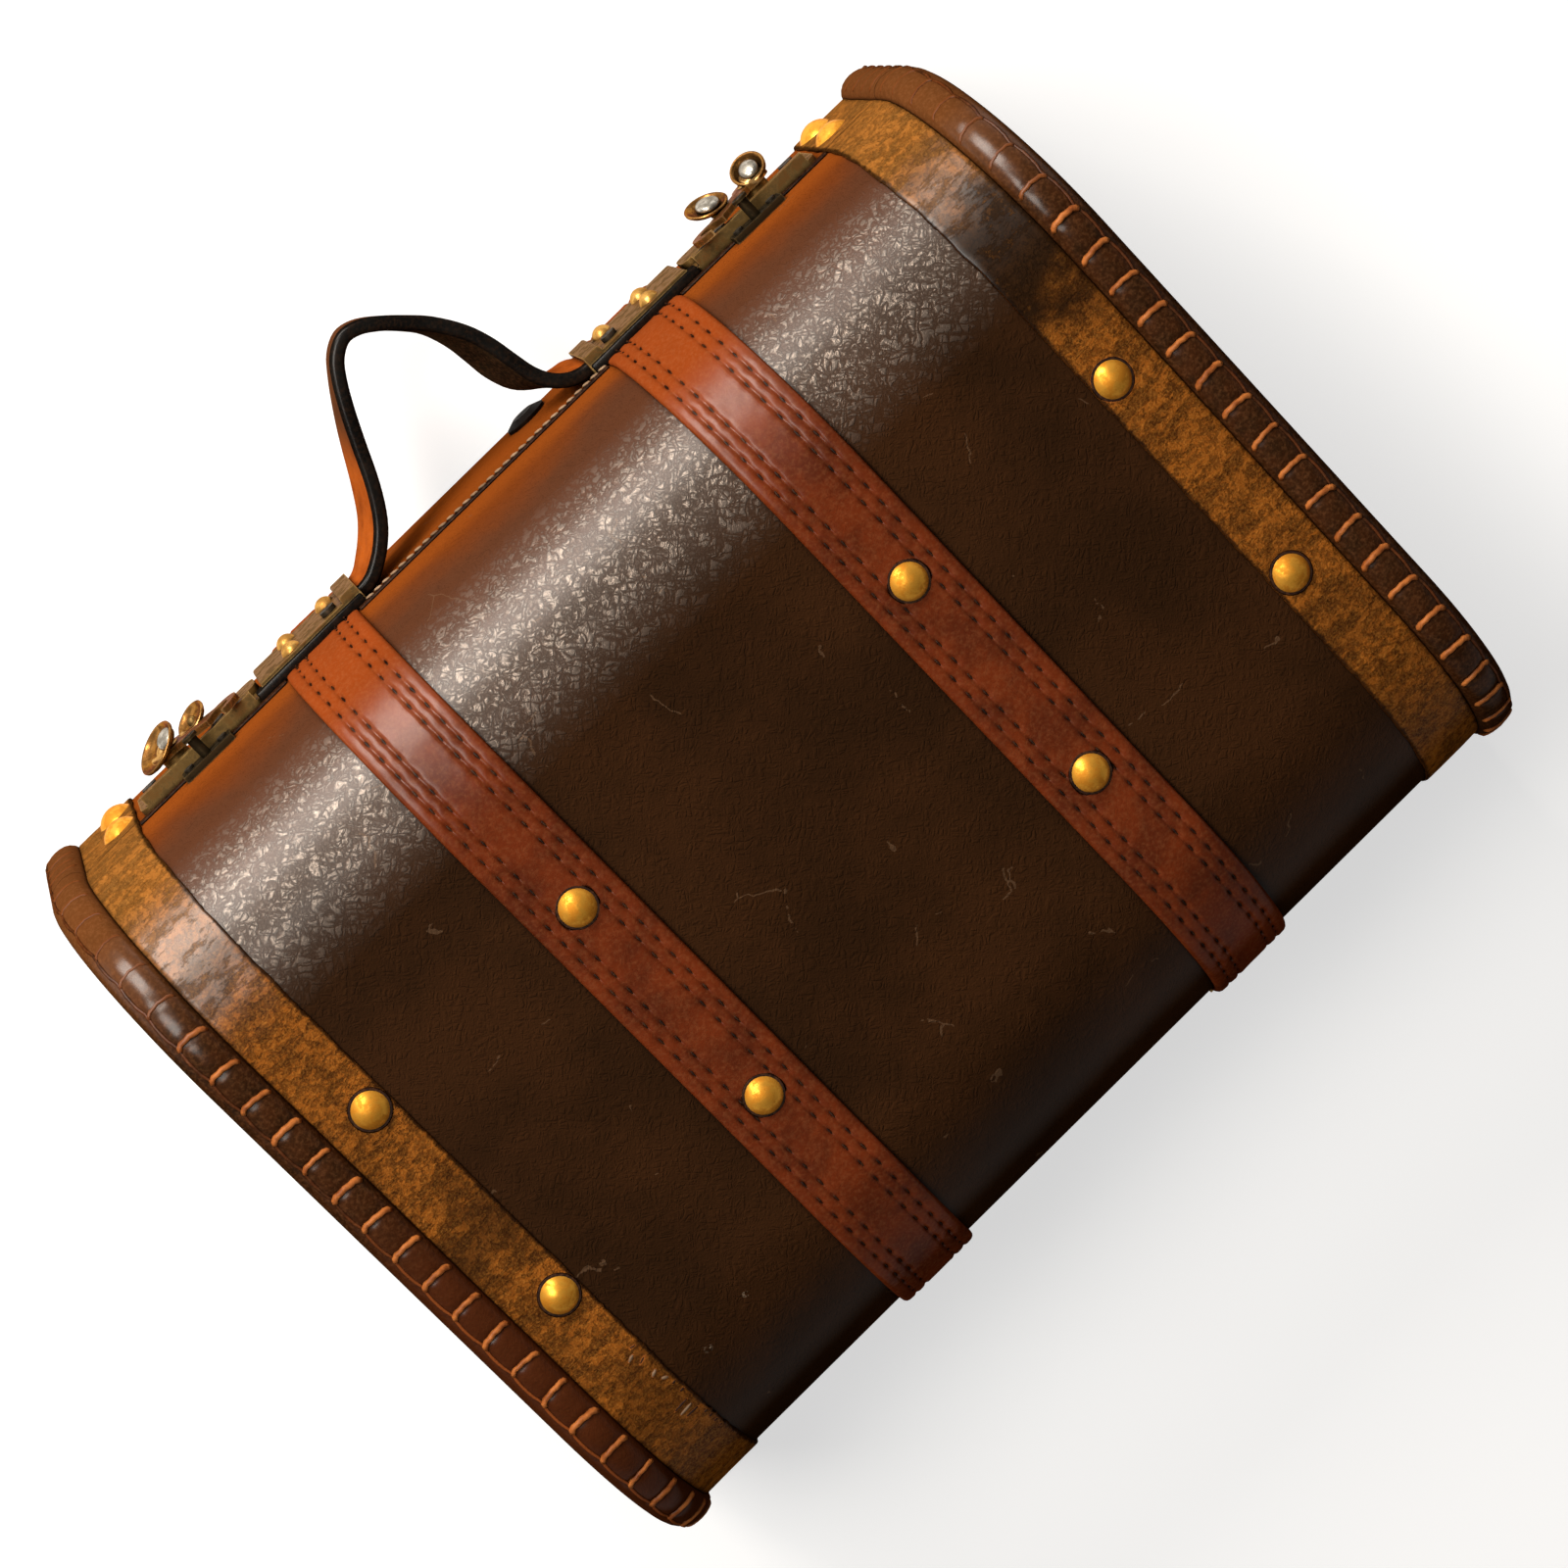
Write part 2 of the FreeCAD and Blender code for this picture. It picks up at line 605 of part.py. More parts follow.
def make_handle():
    """The handle strap's bevelled section, swept along its centre line in the XY plane."""
    half_span = HALF_SPAN.value
    open_half = OPEN_HALF.value
    lie = S.handle_thickness.value / 2
    reach = S.handle_reach.value - lie

    def place(x, y_share):
        return FreeCAD.Vector(x, -FRONT.value - lie - reach * y_share, HANDLE_Z.value)

    start, end = place(half_span, 0), place(-half_span, 0)
    rise, crown, side, foot = [place(open_half * x_share, y_share)
                               for x_share, y_share in (RISE_SHARES, CROWN_SHARES, SIDE_SHARES, FOOT_SHARES)]
    centre_line = tangent_path([(start, None), (rise, foot_radius(start, rise, crown)),
                                (crown, open_half * CROWN_BEND_SHARE), (side, open_half * SIDE_BEND_SHARE),
                                (foot, foot_radius(end, foot, side)), (end, None)])
    section = bevelled_section(centre_line.Vertexes[0].Point, lie, HALF_HANDLE.value, S.handle_edge_bevel.value)
    handle = doc.addObject("Part::Feature", "handle_strap")
    handle.Shape = centre_line.makePipeShell([section], True, False)
    label(handle, "handle_strap")


def bevelled_section(centre, half_y, half_z, bevel):
    """A rectangle with bevelled corners, across X around the start of the handle's centre line."""
    points = []
    for y_side, z_side in ((1, 1), (-1, 1), (-1, -1), (1, -1)):
        on_side = FreeCAD.Vector(0, half_y * y_side, (half_z - bevel) * z_side)
        on_end = FreeCAD.Vector(0, (half_y - bevel) * y_side, half_z * z_side)
        points += [on_side, on_end] if y_side * z_side > 0 else [on_end, on_side]
    points = [centre + point for point in points]
    return Part.makePolygon(points + points[:1])


# Handle brackets

def make_brackets():
    floor = HANDLE_Z - S.bracket_height / 2
    ceiling = HANDLE_Z + S.bracket_height / 2
    saddle_under = S.handle_thickness + S.fitting_clearance
    saddle_top = saddle_under + S.bracket_thickness
    plate_under = S.strap_thickness
    plate_top = plate_under + S.bracket_thickness
    inner = STRAP_INNER - S.saddle_length
    outer = STRAP_OUTER + S.bracket_tail
    step = HALF_SPAN + S.fitting_clearance
    rivets = []
    screws = []
    for hand, side in SIDES:
        section = [(inner, saddle_under, None), (step, saddle_under, None), (step, plate_under, None),
                   (outer - S.bracket_thickness, plate_under, None), (outer - S.bracket_thickness, ZERO, None),
                   (outer, ZERO, None), (outer, plate_top, S.bracket_thickness / 2),
                   (step + S.bracket_thickness, plate_top, None),
                   (step + S.bracket_thickness, saddle_top, S.bracket_thickness / 2), (inner, saddle_top, None)]
        section = [(x * side, -(FRONT + lift), radius) for x, lift, radius in section]
        body = new_body(f"handle_bracket_{hand}")
        pad(body, "XY_Plane", floor, ceiling, [section])
        x_low, x_high = mirrored(side, inner, step)
        cheek = S.fitting_clearance + HALF_HANDLE
        cheeks = [rectangle(x_low, x_high, floor, HANDLE_Z - cheek), rectangle(x_low, x_high, HANDLE_Z + cheek, ceiling)]
        pad(body, "XZ_Plane", FRONT, FRONT + saddle_under, cheeks)
        head_y = -(FRONT + plate_top)
        for place, column, row in (("a", 1, 1), ("b", 1, -1), ("c", -1, -1)):
            rivets.append(dome(f"bracket_rivet_{hand}_{place}", S.rivet_radius, S.rivet_height,
                               (STRAP_CENTRE + S.rivet_spacing / 2 * column) * side, head_y,
                               HANDLE_Z + S.rivet_rows / 2 * row, FORWARD))
        screws.append(rod(f"bracket_screw_{hand}", S.screw_radius, S.screw_height,
                          (STRAP_CENTRE - S.rivet_spacing / 2) * side, head_y,
                          HANDLE_Z + S.rivet_rows / 2, FORWARD))
    group("bracket_rivets", rivets)
    group("bracket_screws", screws)


def make_button():
    """A low turned cap: a straight rim and a coned crown."""
    x = HALF_SPAN * BUTTON_SHARE
    z = SEAM - S.button_drop
    rim_part = rod("button_rim", S.button_radius, S.button_rim_height, x, -FRONT, z, FORWARD)
    crown = doc.addObject("Part::Cone", "button_crown")
    bind(crown, "Radius1", S.button_radius)
    bind(crown, "Radius2", S.button_crown_radius)
    bind(crown, "Height", S.button_height - S.button_rim_height)
    place_at(crown, x, -(FRONT + S.button_rim_height), z, FORWARD)
    label(fused("front_button", [rim_part, crown]), "front_button")


# Latches

def make_latch_plates():
    screws = []
    for hand, side in SIDES:
        low = LATCH_CENTRE - S.latch_length / 2
        high = LATCH_CENTRE + S.latch_length / 2
        floor = SEAM - S.latch_drop - S.latch_height / 2
        ceiling = SEAM - S.latch_drop + S.latch_height / 2
        body = new_body(f"latch_plate_{hand}")
        x_low, x_high = mirrored(side, low, high)
        plate_top = FRONT + S.latch_thickness
        pad(body, "XZ_Plane", FRONT, plate_top, [rectangle(x_low, x_high, floor, ceiling, S.plate_corner)])
        lip_start = low + S.lip_inset
        x_low, x_high = mirrored(side, lip_start, lip_start + S.lip_length)
        pad(body, "XZ_Plane", FRONT, FRONT + S.lip_height,
            [rectangle(x_low, x_high, ceiling - S.lip_depth, ceiling)])
        x_low, x_high = mirrored(side, low, low + S.rest_length)
        pad(body, "XZ_Plane", FRONT, FRONT + S.rest_height,
            [rectangle(x_low, x_high, floor, floor + S.rest_depth, S.plate_corner)])
        add_boss(body, PIVOT_X * side)
        inset = S.screw_radius + S.plate_corner
        for place, x, z in (("a", low + S.rest_length + inset, floor + inset), ("b", high - inset, floor + inset),
                            ("c", high - inset, ceiling - inset)):
            screws.append(rod(f"latch_screw_{hand}_{place}", S.screw_radius, S.screw_height, x * side, -plate_top, z,
                              FORWARD))
    group("latch_screws", screws)


def add_boss(body, x):
    """The round boss that carries the hook on its latch plate."""
    sketch = new_sketch(body, "XZ_Plane", FRONT)
    circle = sketch.addGeometry(Part.Circle(FreeCAD.Vector(x.value, PIVOT_Z.value, 0), Z_AXIS, S.boss_radius.value))
    index = sketch.addConstraint(Sketcher.Constraint("Radius", circle, S.boss_radius.value))
    bind(sketch, f"Constraints[{index}]", S.boss_radius)
    reach = x if x.value > 0 else -x
    points = (-1, 1, circle, 3) if x.value > 0 else (circle, 3, -1, 1)
    index = sketch.addConstraint(Sketcher.Constraint("DistanceX", *points, reach.value))
    bind(sketch, f"Constraints[{index}]", reach)
    index = sketch.addConstraint(Sketcher.Constraint("DistanceY", -1, 1, circle, 3, PIVOT_Z.value))
    bind(sketch, f"Constraints[{index}]", PIVOT_Z)
    boss = body.newObject("PartDesign::Pad", body.Name + "Boss")
    boss.Profile = sketch
    boss.Length = S.boss_height.value
    bind(boss, "Length", S.boss_height)


def make_pivots():
    """The rivet through each hook: a shank that stands on the boss, and a domed head."""
    for hand, side in SIDES:
        x = PIVOT_X * side
        shank_length = S.hook_thickness + S.hook_gap * 2
        shank = rod(f"pivot_shank_{hand}", S.pivot_radius, shank_length, x, -(FRONT + S.boss_height), PIVOT_Z,
                    FORWARD)
        head_y = -(FRONT + S.boss_height + shank_length)
        head = dome(f"pivot_head_{hand}", S.pivot_head_radius, S.pivot_head_height, x, head_y, PIVOT_Z, FORWARD)
        label(fused(f"latch_pivot_{hand}", [shank, head]), f"latch_pivot_{hand}")


def hook_geometry():
    """Reach from the pivot to the peg, and the hook's resting direction on the right side in degrees."""
    across = PEG_X.value - PIVOT_X.value
    up = PEG_Z.value - PIVOT_Z.value
    reach_squared = (PEG_X - PIVOT_X) * (PEG_X - PIVOT_X) + (PEG_Z - PIVOT_Z) * (PEG_Z - PIVOT_Z)
    reach = Measure(math.hypot(across, up), f"sqrt({reach_squared.formula})")
    return reach, math.degrees(math.atan2(up, across)) + S.hook_open_turn.value


def make_hooks():
    """Each hook lies along its own X axis with its pivot at the origin, then turns into its resting place."""
    reach, direction = hook_geometry()
    top = S.hook_thickness
    for hand, side in SIDES:
        eye = rod(f"hook_eye_{hand}", S.hook_eye_radius, top, ZERO, ZERO, ZERO)
        head = rod(f"hook_head_{hand}", S.hook_head_radius, top, reach, ZERO, ZERO)
        half_arm = S.hook_arm_width / 2
        arm = slab(f"hook_arm_{hand}", (ZERO, reach), (-half_arm, half_arm), (ZERO, top))
        blank = fused(f"hook_blank_{hand}", [eye, head, arm])
        deep = (-S.overrun, top + S.overrun)
        seat_y = -S.hook_seat_play * side
        through = top + S.overrun * 2
        seat = rod(f"hook_seat_{hand}", S.hook_throat, through, reach, seat_y, -S.overrun)
        mouth_end = -(S.hook_head_radius + S.overrun)
        mouth_y = (mouth_end, -S.hook_seat_play) if side > 0 else (S.hook_seat_play, -mouth_end)
        mouth = slab(f"hook_mouth_{hand}", (reach - S.hook_throat, reach + S.hook_throat), mouth_y, deep)
        hole = rod(f"hook_hole_{hand}", S.pivot_radius + S.pivot_clearance, through, ZERO, ZERO, -S.overrun)
        cutter = fused(f"hook_cutter_{hand}", [seat, mouth, hole])
        hook = label(cut(f"latch_hook_{hand}", blank, cutter), f"latch_hook_{hand}")
        turn = FORWARD.multiply(FreeCAD.Rotation(Z_AXIS, direction if side > 0 else 180 - direction))
        lift = FRONT + S.boss_height + S.hook_gap
        place_at(hook, PIVOT_X * side, -lift, PIVOT_Z, turn)
        stem = rod(f"disc_stem_{hand}", S.disc_stem_radius, S.disc_stem_height, S.disc_offset, ZERO, top)
        lean = FreeCAD.Rotation(X_AXIS, S.disc_tilt.value * side)
        plate = rod(f"disc_plate_{hand}", S.disc_radius, S.disc_thickness, S.disc_offset, ZERO,
                    top + S.disc_stem_height - S.disc_thickness / 4, lean)
        disc = label(fused(f"latch_disc_{hand}", [stem, plate]), f"latch_disc_{hand}")
        place_at(disc, PIVOT_X * side, -lift, PIVOT_Z, turn)


def make_keepers():
    """The plate on the lid with the peg that the hook catches."""
    screws = []
    for hand, side in SIDES:
        x_low, x_high = mirrored(side, PEG_X - S.keeper_length / 2, PEG_X + S.keeper_length / 2)
        floor = SEAM + S.keeper_lift
        top = FRONT + S.latch_thickness
        plate = slab(f"keeper_plate_{hand}", (x_low, x_high), (-top, -FRONT), (floor, floor + S.keeper_height))
        shank = rod(f"peg_shank_{hand}", S.peg_radius, S.peg_reach, PEG_X * side, -FRONT, PEG_Z, FORWARD)
        head = rod(f"peg_head_{hand}", S.peg_head_radius, S.peg_head_height, PEG_X * side,
                   -(FRONT + S.peg_reach), PEG_Z, FORWARD)
        label(fused(f"latch_keeper_{hand}", [plate, shank, head]), f"latch_keeper_{hand}")
        for place, way in (("inner", -1), ("outer", 1)):
            screws.append(rod(f"keeper_screw_{hand}_{place}", S.small_screw_radius, S.small_screw_height,
                              (PEG_X + S.keeper_screw_spacing / 2 * way) * side, -top,
                              floor + S.keeper_height / 2, FORWARD))
    group("keeper_screws", screws)


# Hinges

def leaf_shape(name, centre, z_slab, z_tab, knuckles):
    """A hinge leaf: a plate, and for each knuckle a tab and a barrel with the pin's bore."""
    half = S.hinge_width / 2
    skin = (HINGE_FACE, HINGE_FACE + S.hinge_leaf)
    solids = [slab(name + "_plate", (centre - half, centre + half), skin, z_slab)]
    for number, (low, high) in enumerate(knuckles):
        solids.append(slab(f"{name}_tab_{number}", (centre + low, centre + high), skin, z_tab))
        solids.append(rod(f"{name}_barrel_{number}", S.barrel_radius, high - low, centre + low, HINGE_Y, SEAM, ALONG_X))
    blank = fused(name + "_blank", solids)
    bore = rod(name + "_bore", S.pin_radius + S.pin_clearance, S.hinge_width + S.overrun * 2,
               centre - half - S.overrun, HINGE_Y, SEAM, ALONG_X)
    return label(cut(name, blank, bore), name)


def make_hinges():
    half = S.hinge_width / 2
    third = S.hinge_width / 6
    middle = third - S.knuckle_gap / 2
    outside = third + S.knuckle_gap / 2
    clear = S.barrel_radius + S.knuckle_gap
    base_screws = []
    lid_screws = []
    for hand, side in SIDES:
        centre = STRAP_CENTRE * side
        leaf_shape(f"hinge_base_leaf_{hand}", centre, (SEAM - S.hinge_base_length, SEAM - clear),
                   (SEAM - clear, SEAM), [(-half, -outside), (outside, half)])
        leaf_shape(f"hinge_lid_leaf_{hand}", centre, (SEAM + clear, SEAM + S.hinge_lid_length),
                   (SEAM, SEAM + clear), [(-middle, middle)])
        shank_length = S.hinge_width + S.knuckle_gap * 2
        start = centre - shank_length / 2
        shank = rod(f"pin_shank_{hand}", S.pin_radius, shank_length, start, HINGE_Y, SEAM, ALONG_X)
        heads = [rod(f"pin_head_{hand}_a", S.pin_head_radius, S.pin_head_length, start - S.pin_head_length, HINGE_Y,
                     SEAM, ALONG_X),
                 rod(f"pin_head_{hand}_b", S.pin_head_radius, S.pin_head_length, start + shank_length, HINGE_Y,
                     SEAM, ALONG_X)]
        label(fused(f"hinge_pin_{hand}", [shank] + heads), f"hinge_pin_{hand}")
        for way in (-1, 1):
            x = centre + S.hinge_screw_spacing / 2 * way
            y = HINGE_FACE + S.hinge_leaf
            place = "inner" if way == -side else "outer"
            base_screws.append(rod(f"hinge_base_screw_{hand}_{place}", S.small_screw_radius, S.small_screw_height,
                                   x, y, SEAM - S.base_screw_drop, REARWARD))
            lid_screws.append(rod(f"hinge_lid_screw_{hand}_{place}", S.small_screw_radius, S.small_screw_height,
                                  x, y, SEAM + S.lid_screw_lift, REARWARD))
    group("hinge_base_screws", base_screws)
    group("hinge_lid_screws", lid_screws)


def check_document():
    """Stop if an object failed or a piece has no valid solid."""
    doc.recompute()
    for item in doc.Objects:
        if "Invalid" in item.State or "Error" in item.State:
            raise RuntimeError(item.Label + " failed: " + ", ".join(item.State))
    for name, piece in PIECES.items():
        if piece.Shape.isNull() or not piece.Shape.isValid() or not piece.Shape.Solids:
            raise RuntimeError(name + " has no valid solid")


def export_pieces():
    os.makedirs("parts", exist_ok=True)
    for name, piece in PIECES.items():
        piece.Shape.exportStep(f"parts/{name}.step")
    print(len(PIECES), "pieces written")


make_base_box()
make_lid_box()
make_trim()
make_studs()
make_handle()
make_brackets()
make_button()
make_latch_plates()
make_pivots()
make_hooks()
make_keepers()
make_hinges()
check_document()
export_pieces()
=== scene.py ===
import json
import math
import random

import bmesh
import bpy
from mathutils import Matrix, Vector, noise
from mathutils.geometry import interpolate_bezier


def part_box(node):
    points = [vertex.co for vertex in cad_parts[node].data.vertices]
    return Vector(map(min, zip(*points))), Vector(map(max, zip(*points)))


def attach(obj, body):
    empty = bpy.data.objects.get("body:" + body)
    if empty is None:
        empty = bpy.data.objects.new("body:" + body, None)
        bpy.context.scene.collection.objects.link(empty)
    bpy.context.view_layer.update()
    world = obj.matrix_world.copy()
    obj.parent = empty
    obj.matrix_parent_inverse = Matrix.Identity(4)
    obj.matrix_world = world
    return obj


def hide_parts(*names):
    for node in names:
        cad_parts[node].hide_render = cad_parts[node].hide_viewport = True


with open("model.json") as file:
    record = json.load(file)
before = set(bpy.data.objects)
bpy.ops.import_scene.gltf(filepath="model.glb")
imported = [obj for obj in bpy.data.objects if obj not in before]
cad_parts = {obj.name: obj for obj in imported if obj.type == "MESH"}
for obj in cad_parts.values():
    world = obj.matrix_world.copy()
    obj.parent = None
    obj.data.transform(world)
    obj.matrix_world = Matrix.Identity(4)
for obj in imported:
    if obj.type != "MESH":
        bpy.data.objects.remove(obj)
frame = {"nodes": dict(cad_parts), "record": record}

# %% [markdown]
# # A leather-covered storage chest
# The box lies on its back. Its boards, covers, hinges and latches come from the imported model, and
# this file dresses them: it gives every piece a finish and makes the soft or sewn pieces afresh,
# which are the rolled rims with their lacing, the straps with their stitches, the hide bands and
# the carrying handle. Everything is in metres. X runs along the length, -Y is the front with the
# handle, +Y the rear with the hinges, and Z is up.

for name in ("Cube", "Camera", "Light"):
    if name in bpy.data.objects:
        bpy.data.objects.remove(bpy.data.objects[name])

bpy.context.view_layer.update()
NODES = frame["nodes"]
MM = 0.001
FRONT_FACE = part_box("lid_cover")[0].y
SIDES = (("left", -1), ("right", 1))
print("pieces in the frame:", len(NODES))

# %% [markdown]
# ## The view
# The photograph looks down on the lid from about 1.25 m above it, a little from the front, and the
# chest is turned 45 degrees in the picture. A camera can be turned by hand until it looks right, but
# a better way is to fit it: nail heads, band edges and the seam were measured in the photograph, and
# the place, the three turns and the focal length were solved from them. No lens shift is needed.

# %% The camera
CAMERA_PLACE = Vector((0.03693, -0.29054, 1.37648))
CAMERA_TURN = [math.radians(angle) for angle in (-8.4594, -10.4906, 136.4163)]
FOCAL_PIXELS = 4891.5
PICTURE_PIXELS = 1600
FILM_WIDTH = 36

camera_data = bpy.data.cameras.new("camera")
camera_data.sensor_width = FILM_WIDTH
camera_data.lens = FOCAL_PIXELS / PICTURE_PIXELS * FILM_WIDTH
camera = bpy.data.objects.new("camera", camera_data)
bpy.context.scene.collection.objects.link(camera)
camera.location = CAMERA_PLACE
camera.rotation_euler = CAMERA_TURN
bpy.context.scene.camera = camera
bpy.context.scene.view_settings.view_transform = "Standard"
print("focal length, mm:", round(camera_data.lens, 1))

# %% [markdown]
# ## Nodes without the mouse
# Every finish is a graph of nodes. One helper adds a node, sets its options and fills its inputs,
# either with a value or with another node's output. More helpers cover what is used most: sums and
# products, a cloudy noise, a ramp that turns a soft pattern into clear patches, and colours laid
# over each other.

# %% Helpers for node graphs
def add_node(tree, kind, inputs=None, **options):
    """Add a node, set its options, and fill its inputs with values or with other nodes' outputs."""
    new = tree.nodes.new(kind if kind.startswith("Node") else "ShaderNode" + kind)
    for option, value in options.items():
        setattr(new, option, value)
    for socket, value in (inputs or {}).items():
        if isinstance(value, bpy.types.NodeSocket):
            tree.links.new(value, new.inputs[socket])
        else:
            new.inputs[socket].default_value = value
    return new


def sums(tree, operation, first, second=0.0, third=0.0):
    """The result of a Math node."""
    return add_node(tree, "Math", {0: first, 1: second, 2: third}, operation=operation).outputs[0]


def times(tree, first, *others):
    """Masks and numbers multiplied together."""
    for other in others:
        first = sums(tree, "MULTIPLY", first, other)
    return first


def between(tree, value, low, high, low_to=0.0, high_to=1.0):
    """A value mapped smoothly from one range onto another."""
    ends = {"Value": value, "From Min": low, "From Max": high, "To Min": low_to, "To Max": high_to}
    return add_node(tree, "MapRange", ends, interpolation_type="SMOOTHSTEP").outputs[0]


def soft_noise(tree, place, scale, detail):
    """A cloudy pattern from 0 to 1."""
    return add_node(tree, "TexNoise", {"Vector": place, "Scale": scale, "Detail": detail}).outputs["Fac"]


def paint(red, green, blue):
    """A colour as read off a screen, 0 to 255, turned into the linear values that a node takes."""
    levels = [level / 255 for level in (red, green, blue)]
    linear = [level / 12.92 if level <= 0.04045 else ((level + 0.055) / 1.055) ** 2.4 for level in levels]
    return linear + [1.0]


def blend(tree, amount, first, second):
    """A mix of two colours."""
    return add_node(tree, "Mix", {0: amount, 6: first, 7: second}, data_type="RGBA").outputs[2]


def laid_over(tree, color, mask, share, other):
    """A colour with another laid over it where a mask lets it, and at most by the given share."""
    return blend(tree, times(tree, mask, share), color, other)


# %% [markdown]
# ## Shared effects
# Leather grain, cloudy mottling, scratches, and dirt with painted shade in corners turn up in many
# finishes, so each is a node group with named inputs, built once and used with other values in each
# material. A group gives out only masks and heights. The shader itself stays in the material.

# %% Helpers for node groups
def new_group(name, inputs, output):
    """An empty node group with float or vector inputs and one float output."""
    tree = bpy.data.node_groups.new(name, "ShaderNodeTree")
    for label, value in inputs.items():
        kind = "NodeSocketVector" if value is None else "NodeSocketFloat"
        socket = tree.interface.new_socket(label, in_out="INPUT", socket_type=kind)
        if value is not None:
            socket.default_value = value
    tree.interface.new_socket(output, in_out="OUTPUT", socket_type="NodeSocketFloat")
    entry = add_node(tree, "NodeGroupInput")
    leave = add_node(tree, "NodeGroupOutput")
    return tree, entry.outputs, leave.inputs[0]


def use_group(tree, group, **inputs):
    """Place a group in a material and return its output."""
    return add_node(tree, "Group", inputs, node_tree=group).outputs[0]


def pushed(tree, place, scale, detail, reach):
    """Coordinates pushed about by a noise, so that a pattern drawn on them isn't regular."""
    push = add_node(tree, "TexNoise", {"Vector": place, "Scale": scale, "Detail": detail}).outputs["Color"]
    shove = add_node(tree, "VectorMath", {0: push, "Scale": reach}, operation="SCALE").outputs[0]
    return add_node(tree, "VectorMath", {0: place, 1: shove}, operation="ADD").outputs[0]


def edge_distance(tree, place, scale):
    """How far a point is from the nearest edge of a net of cells."""
    cells = add_node(tree, "TexVoronoi", {"Vector": place, "Scale": scale}, feature="DISTANCE_TO_EDGE")
    return cells.outputs["Distance"]


# %% [markdown]
# Leather grain is a net of small pebbles with creases over it. A Voronoi pattern's distance to its
# cell edges gives the pebbles, and a noise bends the net so that it isn't regular. The creases are
# the folded middles of two noises, drawn out and turned so that they cross.

# %% Grain
CREASE_TURNS = (0.75, -0.75)
CREASE_STRETCH = (3.2, 1.0, 1.0)
PEBBLE_SHARE = 0.22

grain, take, give = new_group("grain", {"Vector": None, "Pebbles": 700.0, "Creases": 0.6, "Folds": 300.0},
                              "Height")
bent = pushed(grain, take["Vector"], 240.0, 2.0, 0.0016)
pebbles = between(grain, edge_distance(grain, bent, take["Pebbles"]), 0.0, 0.22)
valleys = []
for turn in CREASE_TURNS:
    drawn = add_node(grain, "Mapping", {"Vector": bent, "Rotation": (0.0, 0.0, turn),
                                        "Scale": CREASE_STRETCH}, vector_type="TEXTURE").outputs[0]
    folds = add_node(grain, "TexNoise", {"Vector": drawn, "Scale": take["Folds"], "Detail": 2.0,
                                         "Distortion": 0.5}).outputs["Fac"]
    ridge = sums(grain, "ABSOLUTE", sums(grain, "SUBTRACT", folds, 0.5))
    valleys.append(between(grain, ridge, 0.0, 0.13))
deep = times(grain, sums(grain, "MINIMUM", *valleys), take["Creases"])
grain.links.new(sums(grain, "MULTIPLY_ADD", pebbles, PEBBLE_SHARE, deep), give)

# %% [markdown]
# Mottling is one noise that is squeezed into clear patches. Its place is an input, so a finish can
# draw it out: a hide's dark marks run across the band, while a scuffed cover's have no direction.

# %% Mottle
mottle, take, give = new_group("mottle", {"Vector": None, "Size": 60.0, "Low": 0.4, "High": 0.6,
                                          "Roughness": 0.6}, "Mask")
cloud = add_node(mottle, "TexNoise", {"Vector": take["Vector"], "Scale": take["Size"], "Detail": 7.0,
                                      "Roughness": take["Roughness"]}).outputs["Fac"]
mottle.links.new(between(mottle, cloud, take["Low"], take["High"]), give)

# %% [markdown]
# A scratch is a thin line that starts and stops. The edges of a few very large, bent Voronoi cells
# are long thin lines, and a noise lets only short lengths of them through.

# %% Scratches
scratches, take, give = new_group("scratches", {"Vector": None, "Spread": 26.0, "Width": 0.006,
                                                "Amount": 0.62}, "Mask")
bent = pushed(scratches, take["Vector"], 90.0, 3.0, 0.012)
thin = sums(scratches, "LESS_THAN", edge_distance(scratches, bent, take["Spread"]), take["Width"])
open_here = sums(scratches, "GREATER_THAN", soft_noise(scratches, take["Vector"], 55.0, 5.0), take["Amount"])
scratches.links.new(times(scratches, thin, open_here), give)

# %% [markdown]
# Old wax and dust collect where two pieces meet, and shade falls there too. The Ambient Occlusion
# node tells how closed in a point is, within a short distance, and so finds these corners on any
# shape; what the finishes darken with it is partly dirt and partly painted shade. The same node,
# looking inwards, finds the outer edges, where metal or raw leather shows lighter through a worn finish.

# %% Corner dirt and painted shade, and edge wear
def surroundings(name, reach, clear, full, **options):
    """A group that masks the points with little free space round them, or inside them."""
    tree, take, give = new_group(name, {"Reach": reach}, "Mask")
    around = add_node(tree, "AmbientOcclusion", {"Distance": take["Reach"]}, samples=6, **options)
    tree.links.new(between(tree, around.outputs["AO"], clear, full), give)
    return tree


# Darkening in corners: partly dirt, partly painted shade.
corners = surroundings("corner dirt and painted shade", 0.003, 0.9, 0.35)
rubbed = surroundings("edge wear", 0.0008, 0.85, 0.35, inside=True)

# %% [markdown]
# Hands and years of wear have polished the leather where the lid bends over at the front. The polish
# is a stripe that fades in and out along Y. It drives the clear coat, and on the cover the roughness,
# a metal-like glint and a grey painted highlight too, while the rest of the leather stays waxy and dark.

# %% Polish
POLISH_RISE = (0.007, 0.018)
POLISH_FALL = (0.058, 0.030)

polish, take, give = new_group("polish", {"Vector": None, "Start": 0.0}, "Mask")
place_y = add_node(polish, "SeparateXYZ", {0: take["Vector"]}).outputs["Y"]
behind = sums(polish, "SUBTRACT", place_y, take["Start"])
stripe = times(polish, between(polish, behind, *POLISH_RISE), between(polish, behind, *POLISH_FALL))
polish.links.new(stripe, give)
print("shared effects:", [group.name for group in (grain, mottle, scratches, corners, rubbed, polish)])

# %% [markdown]
# ## A shell for every finish
# Each material starts with the same three things: object coordinates in metres, a Principled shader
# and a Bump node. Numbers that are the same all over are set straight on the shader.

